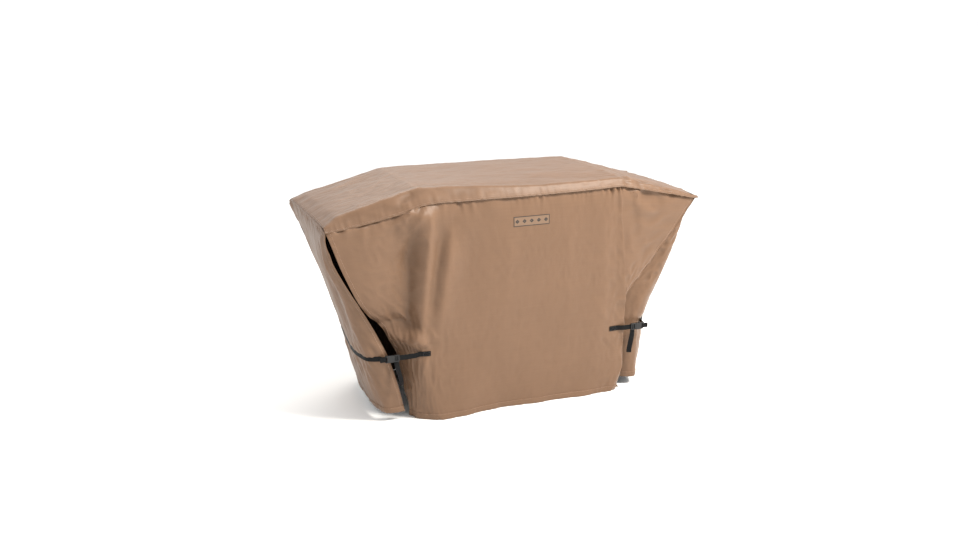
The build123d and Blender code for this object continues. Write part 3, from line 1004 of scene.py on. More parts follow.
# ---- the workshop --------------------------------------------------------------------------------
@dataclass
class Workshop:
    """The frame, the finishes and the random numbers that every part of the cover shares."""
    frame: dict
    cloth: bpy.types.Material
    # The inner face's finish, dark as painted shade for the inside of the cover.
    backing: bpy.types.Material
    webbing: bpy.types.Material
    acetal: bpy.types.Material
    cloth_thread: bpy.types.Material
    black_thread: bpy.types.Material
    label: bpy.types.Material
    seed: int = 20

    def rng(self, number: int) -> np.random.Generator:
        """Random numbers of one panel's own."""
        return np.random.default_rng(self.seed + number)

    def hang(self, piece: bpy.types.Object, body: str, slot: str, *nodes: str) -> bpy.types.Object:
        """Let a piece ride on a body, then enter it with its slot and the nodes it stands for."""
        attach(piece, body)
        return self.enter(piece, slot, *nodes)

    def flex(self, piece: bpy.types.Object, end: End, slot: str, *nodes: str) -> bpy.types.Object:
        """Bake the transform of a piece of an end panel into its mesh, then enter it.

        Args:
            piece: The piece.
            end: Not used.
            slot: The record's slot, named in the log.
            nodes: The nodes that it stands for.

        Returns:
            The piece.
        """
        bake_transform(piece)
        return self.enter(piece, slot, *nodes)

    def enter(self, piece: bpy.types.Object, slot: str, *nodes: str) -> bpy.types.Object:
        """Hide the nodes that a piece stands for, and log the piece with its slot.

        Args:
            piece: The piece.
            slot: The record's slot, named in the log.
            nodes: The nodes that it stands for.

        Returns:
            The piece.
        """
        if nodes:
            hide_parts(*nodes)
        LOG.info("%s: %d faces, %s%s", piece.name, len(piece.data.polygons), slot,
                 f", for {', '.join(nodes)}" if nodes else "")
        return piece

    def dress(self, node: str, material: bpy.types.Material) -> None:
        """Give a CAD node its finish."""
        part = self.frame["nodes"][node]
        if not part.material_slots:
            part.data.materials.append(material)
        for slot in part.material_slots:
            slot.material = material
        LOG.info("%s: dressed in %s", node, material.name)


# ---- the top -------------------------------------------------------------------------------------
@dataclass
class TopPanel:
    """The top: raised over the griddle and sloping down over both shelves.

    Each station across the length gives x, then y and z of the rear seam, the rear edge of the
    raised part, two points on its flat, its front edge, and the front seam.
    """
    shape: tuple[int, int] = (110, 250)
    thickness: float = CLOTH_THICKNESS
    soft: float = 0.030
    crisp: float = 0.005
    half_depth: float = 0.312  # from the middle to the front or rear seam
    half_length: float = 0.785
    lip: float = 0.0040        # how far the seam overhangs the panel below it, and turns down
    lip_reach: float = 0.006   # how far from the seam the lip starts
    sag: float = 0.0008        # height of the long waves
    ripple: float = 0.0002     # height of the short waves
    pucker: float = 0.0008     # height of the puckers along the seams
    crinkled: float = 0.0012   # height of the sharp small creases
    stations: list[tuple] = field(default_factory=lambda: [
        (-.785, (.305, .792), (.285, .803), (.1, .806), (-.1, .803), (-.285, .799), (-.306, .787)),
        (-.735, (.311, .800), (.266, .830), (.1, .833), (-.1, .832), (-.258, .831), (-.311, .793)),
        (-.600, (.312, .818), (.266, .860), (.1, .864), (-.1, .864), (-.257, .865), (-.312, .816)),
        (-.500, (.312, .836), (.267, .884), (.1, .888), (-.1, .889), (-.256, .890), (-.312, .835)),
        (-.425, (.312, .858), (.268, .904), (.1, .908), (-.1, .910), (-.255, .912), (-.312, .859)),
        (-.360, (.312, .865), (.270, .908), (.1, .911), (-.1, .911), (-.262, .911), (-.313, .866)),
        (-.200, (.312, .866), (.272, .907), (.1, .909), (-.1, .909), (-.276, .907), (-.313, .865)),
        (.000, (.312, .866), (.273, .905), (.1, .906), (-.1, .906), (-.293, .896), (-.313, .864)),
        (.200, (.312, .866), (.272, .904), (.1, .905), (-.1, .905), (-.295, .894), (-.313, .866)),
        (.405, (.312, .866), (.268, .902), (.1, .904), (-.1, .905), (-.295, .899), (-.313, .872)),
        (.465, (.312, .855), (.270, .885), (.1, .889), (-.1, .891), (-.296, .885), (-.313, .859)),
        (.600, (.311, .828), (.275, .845), (.1, .850), (-.1, .852), (-.298, .847), (-.310, .829)),
        (.700, (.309, .808), (.283, .819), (.1, .824), (-.1, .826), (-.300, .818), (-.307, .808)),
        (.757, (.304, .797), (.292, .803), (.1, .808), (-.1, .808), (-.300, .802), (-.304, .798)),
    ])
    creases: list[Crease] = field(default_factory=lambda: [
        Crease(True, 1, 0.035, 0.9), Crease(True, 4, 0.035, 0.95), Crease(False, 4, 0.05, 0.8),
        Crease(False, 9, 0.05, 0.8), Crease(False, 1, 0.03, 0.4)])
    folds: list[Fold] = field(default_factory=lambda: [
        # Pinched edges of the raised part and of the shelves.
        Fold((-.40, -.256), (-.75, -.262), .007, .0022, rise=.05, fade=.1, flare=0.0),
        Fold((-.40, -.258), (.02, -.292), .007, .0018, rise=.05, fade=.5, flare=0.0),
        Fold((-.415, -.27), (-.415, .27), .010, .0014, rise=.05, fade=.05, flare=0.0),
        Fold((.410, -.30), (.410, .27), .010, .0016, rise=.05, fade=.05, flare=0.0),
        Fold((-.46, -.30), (-.56, -.262), .010, .0045, rise=.1, fade=.4),
        Fold((-.44, -.262), (-.53, -.305), .009, -.0040, rise=.1, fade=.4),
        Fold((.452, -.315), (.440, -.235), .006, .0060, left=.012, rise=.1, fade=.5),
        Fold((.475, -.312), (.560, -.250), .010, -.0045, rise=.1, fade=.5),
        Fold((-.43, -.25), (-.72, -.22), .022, .0035), Fold((-.43, -.24), (-.66, -.05), .03, -.004),
        Fold((-.43, .0), (-.76, .03), .035, .004), Fold((-.42, .25), (-.70, .12), .025, .0035),
        Fold((.44, -.28), (.66, -.18), .022, .004), Fold((.44, -.2), (.70, -.02), .03, -.004),
        Fold((.43, .24), (.68, .1), .025, .004), Fold((-.38, -.24), (-.1, -.1), .04, .003),
        Fold((.38, -.27), (.05, -.15), .04, -.003), Fold((-.2, .25), (.15, .05), .05, .003)])

    def surface(self, shop: Workshop) -> Surface:
        """The outer skin of the top: the net spread, folded, rumpled, and turned down at its rim."""
        net = np.array([[(x, *points[row]) for x, *points in self.stations] for row in range(6)])
        points, draw = draped(net, self.shape, self.soft, self.crisp, self.creases, shop.rng(1))
        x, y = points[..., 0], points[..., 1]
        heights = sum(fold.heights(x, y) for fold in self.folds)
        heights = heights + self.sag * draw.waves(.12, .20)
        heights = heights + self.ripple * draw.waves(.03, .05)
        from_seam = self.half_depth - np.abs(y)
        heights = heights + self.pucker * draw.waves(.2, .03) * np.exp(-np.maximum(from_seam, 0) / 0.02)
        shelves = np.exp(-((np.abs(x) - 0.52) / 0.16) ** 2)
        heights = heights + self.crinkled * draw.crinkles(.05, .11) * (0.35 + shelves)
        edge = smoothstep(from_seam / 0.02) * smoothstep((self.half_length - np.abs(x)) / 0.03)
        heights = heights * (0.25 + 0.75 * edge)
        surface = Surface(points, proud(heights, draw.row_gap)).pushed(heights)
        self.turn_down(surface, draw, np.sign(y))
        return surface

    def turn_down(self, surface: Surface, draw: Rumpler, outwards: Array) -> None:
        """Turn the outermost few millimetres down over the seams, with a bell curve of the distance.

        Args:
            surface: The skin to change.
            draw: Holds the grid's shape and spacing.
            outwards: Sign of Y at each point.
        """
        falls = []
        for count, gap in zip(self.shape, (draw.row_gap, draw.column_gap)):
            from_rim = np.minimum(np.arange(count), np.arange(count)[::-1])
            falls.append(np.exp(-(from_rim * gap / self.lip_reach) ** 2))
        seams, ends = falls[0][:, None], falls[1][None, :]
        surface.points[..., 1] += outwards * self.lip * seams
        surface.points[..., 2] -= self.lip * np.maximum(seams, 0.5 * ends)

    def build(self, shop: Workshop) -> Surface:
        """The cloth and its topstitching."""
        surface = self.surface(shop)
        cloth = cloth_piece("top_cloth", surface, self.thickness, shop.cloth, shop.backing)
        shop.hang(cloth, "cover", "cloth", "top_panel")
        lines = [surface.line(edge, 0.008) for edge in Edge]
        stitches = stitch_piece("top_topstitching", lines, shop.cloth_thread)
        shop.hang(stitches, "cover", "thread")
        return surface


# ---- the front and the rear ------------------------------------------------------------------------
# A drop panel's net: the seam, then each level's height with its line from the left free edge to the
# right one.  It hangs straight over the left shelf, and over the right one it is folded back.
DROP_SEAM = [(-.785, -.306, .785), (-.690, -.310, .799), (-.590, -.311, .816), (-.480, -.312, .838),
             (-.405, -.313, .862), (-.270, -.313, .864), (-.100, -.313, .862), (.090, -.313, .863),
             (.270, -.313, .866), (.405, -.313, .871), (.412, -.312, .870), (.470, -.312, .856),
             (.610, -.309, .826), (.754, -.304, .797)]
DROP_LEVELS = [
    (.735, [(-.765, -.303), (-.685, -.309), (-.585, -.311), (-.473, -.313), (-.385, -.311),
            (-.248, -.311), (-.088, -.311), (.094, -.311), (.270, -.311), (.412, -.311),
            (.409, -.303), (.466, -.303), (.587, -.299), (.715, -.294)]),
    (.650, [(-.736, -.300), (-.665, -.305), (-.575, -.308), (-.465, -.312), (-.365, -.308),
            (-.235, -.308), (-.080, -.308), (.097, -.308), (.271, -.308), (.424, -.310),
            (.419, -.296), (.462, -.294), (.560, -.286), (.662, -.276)]),
    (.500, [(-.670, -.289), (-.610, -.298), (-.540, -.304), (-.452, -.311), (-.362, -.304),
            (-.232, -.305), (-.085, -.304), (.095, -.304), (.277, -.304), (.438, -.306),
            (.433, -.290), (.462, -.286), (.505, -.277), (.548, -.265)]),
    (.450, [(-.637, -.279), (-.585, -.289), (-.522, -.298), (-.446, -.311), (-.362, -.303),
            (-.234, -.304), (-.090, -.303), (.090, -.303), (.278, -.303), (.441, -.305),
            (.437, -.290), (.457, -.285), (.480, -.278), (.502, -.268)]),
    (.400, [(-.602, -.264), (-.557, -.274), (-.502, -.288), (-.439, -.312), (-.362, -.302),
            (-.236, -.304), (-.094, -.302), (.086, -.302), (.279, -.303), (.444, -.305),
            (.440, -.290), (.443, -.284), (.445, -.276), (.446, -.266)]),
    (.345, [(-.544, -.228), (-.509, -.246), (-.470, -.270), (-.430, -.310), (-.362, -.300),
            (-.240, -.302), (-.100, -.300), (.080, -.300), (.280, -.302), (.443, -.297),
            (.441, -.288), (.442, -.284), (.440, -.276), (.438, -.266)]),
    (.277, [(-.505, -.204), (-.486, -.233), (-.459, -.266), (-.424, -.303), (-.362, -.299),
            (-.245, -.301), (-.106, -.298), (.074, -.298), (.280, -.300), (.441, -.294),
            (.440, -.286), (.443, -.285), (.440, -.277), (.437, -.267)]),
    (.200, [(-.488, -.205), (-.475, -.236), (-.452, -.270), (-.419, -.303), (-.362, -.304),
            (-.252, -.306), (-.112, -.295), (.068, -.296), (.280, -.299), (.440, -.293),
            (.440, -.286), (.443, -.285), (.442, -.277), (.441, -.267)]),
    (.100, [(-.475, -.218), (-.466, -.242), (-.448, -.272), (-.410, -.299), (-.356, -.308),
            (-.260, -.308), (-.122, -.288), (.050, -.291), (.275, -.296), (.434, -.295),
            (.436, -.290), (.442, -.286), (.448, -.278), (.451, -.268)]),
    (.001, [(-.456, -.205), (-.460, -.224), (-.440, -.259), (-.392, -.301), (-.345, -.311),
            (-.265, -.309), (-.125, -.278), (.045, -.287), (.250, -.292), (.395, -.288),
            (.411, -.283), (.426, -.276), (.436, -.265), (.441, -.254)]),
]
DROP_CREASES = [Crease(False, 9, 0.035, 1.0), Crease(False, 10, 0.035, 1.0),
                Crease(False, 3, 0.05, 0.4)]
FRONT_FOLDS = [
    # The two long folds that fall from the raised corner at the left, the hollow between them, and
    # the deep one towards the slit.
    Fold((-.388, .880), (-.452, .16), .030, .027, left=.085, rise=.10, fade=.35, flare=.2),
    Fold((-.300, .800), (-.380, .26), .045, .020, left=.026, rise=.3, fade=.4),
    Fold((-.335, .800), (-.400, .34), .022, -.013, rise=.3, fade=.35),
    Fold((-.448, .840), (-.488, .33), .038, -.066, left=.070, rise=.4, fade=.12),
    Fold((-.200, .78), (-.300, .40), .050, -.005, rise=.3, fade=.4),
    # Creases that radiate from the raised corner over the left shelf.
    Fold((-.405, .858), (-.560, .600), .012, .0050, rise=.1, fade=.6),
    Fold((-.415, .852), (-.620, .700), .012, -.0045, rise=.1, fade=.6),
    Fold((-.465, .848), (-.520, .740), .010, .0060, left=.020, rise=.15, fade=.5),
    Fold((-.500, .838), (-.570, .770), .012, -.0050, rise=.15, fade=.5),
    Fold((-.640, .802), (-.650, .700), .012, .0030, rise=.15, fade=.6),
    # Pulls towards the strap at the left.
    Fold((-.540, .480), (-.425, .300), .012, .0060, left=.02, rise=.4, fade=.15),
    Fold((-.470, .400), (-.415, .300), .008, .0060, left=.014, rise=.3, fade=.15),
    Fold((-.415, .385), (-.400, .300), .008, -.0050, rise=.3, fade=.2),
    Fold((-.410, .262), (-.450, .110), .012, .0060, left=.02, rise=.15, fade=.5),
    Fold((-.385, .262), (-.400, .130), .010, -.0035, rise=.15, fade=.5),
    # Long faint undulations of the middle.
    Fold((-.050, .820), (-.120, .060), .050, .0040, rise=.3, fade=.3),
    Fold((.190, .840), (.180, .100), .030, .0020, rise=.3, fade=.4),
    Fold((.330, .850), (.352, .080), .035, .0040, rise=.25, fade=.3),
    Fold((.390, .850), (.400, .180), .018, -.0030, rise=.2, fade=.4),
    Fold((.330, .245), (.395, .175), .012, -.0030),
    Fold((.300, .420), (.372, .300), .014, .0025, rise=.4, fade=.2),
    # Puckers of the part that is folded back at the right.
    Fold((.445, .860), (.610, .680), .014, .0050, left=.03, rise=.1, fade=.5),
    Fold((.452, .850), (.500, .640), .012, -.0050, rise=.1, fade=.5),
    Fold((.470, .850), (.480, .760), .008, .0050, rise=.1, fade=.4),
    Fold((.560, .830), (.600, .770), .010, -.0040, rise=.15, fade=.5),
]
REAR_FOLDS = [
    Fold((-.400, .860), (-.450, .080), .028, .013, rise=.15, fade=.3),
    Fold((-.300, .820), (-.385, .300), .036, .009, rise=.3, fade=.4),
    Fold((-.350, .830), (-.420, .260), .024, -.009, rise=.2, fade=.4),
    Fold((-.410, .850), (-.640, .600), .020, .0055, rise=.1, fade=.6),
    Fold((-.415, .290), (-.600, .480), .014, .0055, rise=.1, fade=.5),
    Fold((-.415, .285), (-.550, .350), .011, -.0045, rise=.1, fade=.4),
    Fold((.040, .840), (.100, .080), .040, .0050, rise=.3, fade=.3),
    Fold((-.120, .830), (-.090, .200), .035, -.0035, rise=.3, fade=.5),
    Fold((.240, .850), (.215, .100), .030, .0040, rise=.3, fade=.4),
    Fold((.350, .850), (.375, .100), .028, -.0040, rise=.25, fade=.3),
    Fold((.435, .850), (.630, .650), .020, .0050, rise=.1, fade=.5),
    Fold((.450, .830), (.560, .560), .018, -.0045, rise=.1, fade=.5),
]


@dataclass
class DropPanel:
    """The front or the rear panel, from the top's seam to its hem, with what is sewn to it."""
    side: Side
    folds: list[Fold]
    shape: tuple[int, int] = (170, 260)
    thickness: float = CLOTH_THICKNESS
    soft: float = 0.030
    crisp: float = 0.0035
    facing: float = 0.018
    waist: float = 0.045       # half the height over which a strap presses the cloth
    sewn_at: float = 0.405     # distance of a strap's sewn end from the middle
    tuck: float = 0.0050       # how far the cloth starts behind the top's seam
    sag: float = 0.0008        # height of the long waves
    ripple: float = 0.00022    # height of the short waves
    pucker: float = 0.0020     # height of the puckers below the seam
    gather: float = 0.0013     # height of the gathers above and below a strap
    crinkled: float = 0.0018   # height of the sharp small creases
    sway: float = 0.0014       # height of the waves of the foot
    clearance: float = 0.0012  # lowest the skin goes, over the ground

    def surface(self, shop: Workshop) -> Surface:
        """The outer skin: the net hung, folded, puckered at its seam and gathered at its straps."""
        net = np.array([DROP_SEAM] + [[(x, y, z) for x, y in line] for z, line in DROP_LEVELS])
        points, draw = draped(net, self.shape, self.soft, self.crisp, DROP_CREASES,
                              shop.rng(3 + self.side.value))
        x, z = points[..., 0], points[..., 2]
        heights = sum(fold.heights(x, z) for fold in self.folds)
        heights = heights + self.sag * draw.waves(.26, .11)
        heights = heights + self.ripple * draw.waves(.05, .04)
        down = np.arange(self.shape[0])[:, None] * draw.row_gap
        puckers = draw.waves(.15, .028)
        patchy = np.clip(0.5 + 0.5 * draw.waves(.6, .25), 0, 1.4)
        seam = np.exp(-down / 0.028) * smoothstep(down / 0.012)
        heights = heights + self.pucker * puckers * patchy * seam
        # Under a strap the folds are pressed flat, and small gathers stand above and below it.
        near = (np.exp(-((z - STRAP_HEIGHT) / self.waist) ** 2)
                * smoothstep((np.abs(x) - .34) / .06))
        heights = heights * (1 - 0.8 * near)
        heights = heights + self.gather * draw.waves(.12, .030) * near
        # The cloth creases sharply over the shelves and beside the straps.
        strained = np.exp(-((np.abs(x) - .50) / .13) ** 2) + 0.8 * near
        heights = heights + self.crinkled * draw.crinkles(.10, .05) * (0.25 * patchy + strained)
        heights = heights - self.tuck * np.exp(-(down / 0.018) ** 2)
        heights = heights + self.sway * draw.waves(.3, .16) * smoothstep((.16 - z) / .16)
        # It is held flat under each strap's sewn end.
        sewn = np.exp(-((np.abs(x) - self.sewn_at) / 0.03) ** 4 - ((z - STRAP_HEIGHT) / 0.022) ** 4)
        heights = heights * (1 - 0.85 * sewn)
        surface = Surface(points, proud(heights, draw.row_gap)).pushed(heights)
        surface.points[..., 2] = np.maximum(surface.points[..., 2], self.clearance)
        if self.side is Side.REAR:
            mirrored = surface.points[:, ::-1] * np.array([1.0, -1.0, 1.0])
            surface = Surface(mirrored, surface.crease[:, ::-1])
        return surface

    def build(self, shop: Workshop) -> Surface:
        """The cloth, its hem and topstitching, its facings with rolled edges, and its seam tape."""
        word = self.side.word
        surface = self.surface(shop)
        cloth = cloth_piece(f"{word}_cloth", surface, self.thickness, shop.cloth, shop.backing)
        shop.hang(cloth, "cover", "cloth", f"{word}_panel")
        hem = self.hem_band(shop, surface)
        lines = [surface.line(Edge.TOP, 0.007), surface.line(Edge.LEFT, self.facing - 0.003),
                 surface.line(Edge.RIGHT, self.facing - 0.003)]
        stitches = stitch_piece(f"{word}_topstitching", lines, shop.cloth_thread)
        shop.hang(stitches, "cover", "thread")
        self.facings(shop, surface)
        tape = Surface(surface.band(Edge.TOP, 0.004, 0.026, 6).pushed(-0.0014).points)
        middle = np.abs(tape.points[0, :, 0]) < 0.42
        tape = cloth_piece(f"{word}_seam_tape", Surface(tape.points[:, middle]), 0.0008, shop.backing)
        shop.hang(tape, "cover", "cloth", f"{word}_top_seam_tape")
        return surface

    def hem_band(self, shop: Workshop, surface: Surface) -> bpy.types.Object:
        """The turned-up hem and its stitches."""
        word = self.side.word
        piece = hem_piece(f"{word}_hem", surface, shop.cloth, shop.backing)
        shop.hang(piece, "cover", "cloth", f"{word}_hem_band")
        stitches = hem_stitches(f"{word}_hem_stitches", surface, shop.cloth_thread)
        shop.hang(stitches, "cover", "thread")
        return piece

    def facings(self, shop: Workshop, surface: Surface) -> None:
        """The strips that back the free edges down to the straps, and the rolls of the edges."""
        for edge in (Edge.LEFT, Edge.RIGHT):
            x = surface.line(edge, 0.0)[0][0, 0]
            end = End.LEFT if x < 0 else End.RIGHT
            inner = surface.band(edge, 0.0, self.facing, 5).pushed(-0.0013)
            rows = slice(2, int(self.shape[0] * 0.66))
            piece = cloth_piece(f"{self.side.word}_{end.word}_facing", Surface(inner.points[rows]),
                                0.0009, shop.backing)
            shop.hang(piece, "cover", "cloth", f"{self.side.word}_{end.word}_slit_facing")
            roll = rolled_edge(f"{self.side.word}_{end.word}_rolled_edge", surface, edge, shop.cloth)
            shop.hang(roll, "cover", "cloth")


@dataclass
class BarTacks:
    """Dense zigzags that stop the four slits from tearing."""
    width: float = 0.013
    height: float = 0.0045
    turns: int = 13
    start: float = 0.004       # distance from the free edge

    def build(self, shop: Workshop, panels: list[Surface]) -> None:
        """One zigzag below the seam at each end of the front and of the rear panel."""
        lines = []
        for panel in panels:
            points, normals = panel.pushed(0.0004).line(Edge.TOP, 0.0065)
            for run, out in ((points, normals), (points[::-1], normals[::-1])):
                far = np.linalg.norm(run - run[0], axis=-1)
                at = np.linspace(self.start, self.start + self.width, self.turns)
                path = sampled(run, far, at)
                path[:, 2] += self.height / 2 * (-1.0) ** np.arange(self.turns)
                lines.append((path, np.repeat(out[:1], self.turns, axis=0)))
        piece = stitch_piece("slit_bar_tacks", lines, shop.black_thread, BAR_TACK)
        shop.hang(piece, "cover", "thread", "slit_bartacks")


@dataclass
class LabelPatch:
    """The woven label near the top of the front panel, and the stitches round it."""
    margin: float = 0.0022
    thickness: float = 0.0008

    def build(self, shop: Workshop, front: Surface) -> None:
        """A grid laid on the panel's face: at each height, the panel's own line gives its depth."""
        low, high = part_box("front_label")
        heights = np.linspace(high[2], low[2], 16)
        across = np.linspace(low[0], high[0], 60)
        rows = []
        for height in heights:
            line, _ = front.level(height)
            order = np.argsort(line[:, 0])
            depth = np.interp(across, line[order, 0], line[order, 1])
            rows.append(np.stack([across, depth, np.full_like(across, height)], axis=-1))
        patch = Surface(soften(np.array(rows), 1.5, 2.5)).pushed(0.0011)
        piece = cloth_piece("woven_label", patch, self.thickness, shop.label)
        shop.hang(piece, "cover", "label", "front_label")
        lines = [patch.line(edge, self.margin) for edge in Edge]
        stitches = stitch_piece("label_stitches", lines, shop.black_thread, LABEL_STITCH)
        shop.hang(stitches, "cover", "thread")


# ---- the piped seam ------------------------------------------------------------------------------
@dataclass
class TopSeam:
    """The seam round the top: the allowances pressed down and topstitched, standing as a low welt."""
    width: float = 0.0060
    height: float = 0.0042
    inset: float = 0.0012      # distance from the top's edge
    sink: float = 0.0008       # how far its middle lies under the top's face
    unevenness: float = 0.0005

    def build(self, shop: Workshop, top: Surface) -> None:
        """A welt along each edge of the top, slightly uneven."""
        rng = shop.rng(9)
        for edge in Edge:
            points, normals = top.line(edge, self.inset)
            wander = Rumpler(rng, (len(points), 3), 1.0, 1.0).waves(4.0, 0.1)[:, :1]
            path = points - normals * self.sink
            path = path + normals * (self.unevenness * wander)
            welt = strap_piece(f"top_{edge.value}_seam_welt", path, normals, self.height,
                               self.width, shop.cloth)
            shop.hang(welt, "cover", "cloth")


# ---- the ends --------------------------------------------------------------------------------------
# An end panel's net: the seam, then each level's height with its line from the front free edge to
# the rear one.  The left end hangs square over a slack strap.  The right one is pulled tight.
LEFT_END_SEAM = [(-.786, -.307, .784), (-.787, -.287, .790), (-.787, -.250, .797),
                 (-.787, -.150, .800), (-.786, .000, .803), (-.786, .150, .805),
                 (-.785, .250, .803), (-.785, .287, .799), (-.785, .306, .791)]
LEFT_END_LEVELS = [
    (.760, [(-.792, -.311), (-.796, -.292), (-.794, -.252), (-.788, -.150), (-.785, .000),
            (-.783, .150), (-.781, .250), (-.778, .288), (-.772, .307)]),
    (.650, [(-.758, -.304), (-.772, -.290), (-.781, -.257), (-.776, -.150), (-.764, .000),
            (-.753, .140), (-.742, .240), (-.734, .280), (-.720, .300)]),
    (.530, [(-.690, -.295), (-.708, -.284), (-.724, -.257), (-.737, -.150), (-.723, .000),
            (-.706, .130), (-.692, .228), (-.680, .270), (-.660, .293)]),
    (.400, [(-.618, -.296), (-.652, -.292), (-.682, -.264), (-.698, -.155), (-.684, .000),
            (-.668, .120), (-.654, .215), (-.634, .266), (-.600, .290)]),
    (.277, [(-.560, -.293), (-.604, -.298), (-.646, -.275), (-.664, -.160), (-.647, .000),
            (-.635, .110), (-.622, .208), (-.602, .268), (-.560, .291)]),
    (.150, [(-.520, -.272), (-.565, -.281), (-.606, -.262), (-.628, -.150), (-.618, .000),
            (-.605, .120), (-.590, .205), (-.560, .258), (-.518, .275)]),
    (.036, [(-.490, -.250), (-.530, -.264), (-.568, -.252), (-.588, -.150), (-.583, .000),
            (-.575, .120), (-.560, .200), (-.535, .250), (-.492, .263)]),
]
RIGHT_END_SEAM_HALF = [(.753, -.303, .794), (.755, -.296, .796), (.757, -.286, .798),
                       (.758, -.268, .800), (.760, -.190, .803), (.761, -.095, .805),
                       (.762, .000, .806)]
# Its front part turns round the corner and goes in behind the drop panel's folded edge.
RIGHT_END_HALVES = [
    (.760, [(.700, -.280), (.722, -.286), (.738, -.283), (.748, -.262), (.757, -.190),
            (.760, -.095), (.761, .000)]),
    (.650, [(.612, -.240), (.654, -.250), (.690, -.264), (.710, -.250), (.732, -.185),
            (.742, -.090), (.746, .000)]),
    (.530, [(.548, -.222), (.597, -.234), (.640, -.256), (.664, -.247), (.698, -.172),
            (.713, -.080), (.718, .000)]),
    (.400, [(.462, -.222), (.512, -.236), (.564, -.258), (.598, -.246), (.648, -.172),
            (.675, -.080), (.682, .000)]),
    (.277, [(.432, -.246), (.468, -.262), (.510, -.271), (.541, -.252), (.595, -.176),
            (.637, -.083), (.653, .000)]),
    (.150, [(.452, -.236), (.484, -.257), (.518, -.263), (.539, -.246), (.580, -.172),
            (.611, -.083), (.622, .000)]),
    (.036, [(.455, -.226), (.487, -.248), (.514, -.255), (.531, -.241), (.563, -.165),
            (.590, -.080), (.600, .000)]),
]


def there_and_back(half: list[tuple]) -> list[tuple]:
    """A line from its front half: the same points with Y turned over follow its middle."""
    return half + [(x, -y, *rest) for x, y, *rest in half[-2::-1]]


RIGHT_END_SEAM = there_and_back(RIGHT_END_SEAM_HALF)
RIGHT_END_LEVELS = [(z, there_and_back(half)) for z, half in RIGHT_END_HALVES]
CRUMPLE = {End.LEFT: 0.0006, End.RIGHT: 0.0036}
END_CREASES = {End.LEFT: [Crease(False, 2, 0.035, 0.5), Crease(False, 7, 0.035, 0.4)],
               End.RIGHT: [Crease(False, 2, 0.03, 0.5), Crease(False, 10, 0.03, 0.5)]}
END_FOLDS = {
    End.LEFT: [
        Fold((-.270, .780), (-.245, .300), .018, .0060, rise=.1, fade=.2),
        Fold((-.215, .760), (-.205, .320), .022, -.0055, rise=.2, fade=.3),
        Fold((-.120, .780), (-.150, .340), .030, .0045, rise=.3, fade=.3),
        Fold((.030, .780), (.020, .320), .035, -.0040, rise=.3, fade=.3),
        Fold((.140, .780), (.120, .300), .030, .0050, rise=.3, fade=.3),
        Fold((.240, .780), (.225, .310), .022, -.0045, rise=.2, fade=.3),
        Fold((-.240, .250), (-.210, .060), .020, .0050, rise=.15, fade=.4),
        Fold((-.100, .255), (-.110, .060), .026, -.0045, rise=.15, fade=.4),
        Fold((.080, .255), (.070, .060), .026, .0045, rise=.15, fade=.4)],
    End.RIGHT: [
        Fold((-.250, .700), (-.215, .330), .016, .0065, rise=.2, fade=.3),
        Fold((-.200, .760), (-.170, .330), .020, -.0060, rise=.2, fade=.3),
        Fold((-.120, .780), (-.110, .330), .026, .0050, rise=.3, fade=.3),
        Fold((.010, .780), (.000, .330), .032, -.0040, rise=.3, fade=.3),
        Fold((.130, .780), (.115, .330), .026, .0050, rise=.3, fade=.3),
        Fold((.220, .760), (.190, .320), .020, -.0050, rise=.2, fade=.3),
        Fold((-.205, .240), (-.180, .060), .018, .0050, rise=.15, fade=.4),
        Fold((-.060, .250), (-.060, .060), .024, -.0040, rise=.15, fade=.4),
        Fold((.120, .250), (.110, .060), .024, .0045, rise=.15, fade=.4)],
}


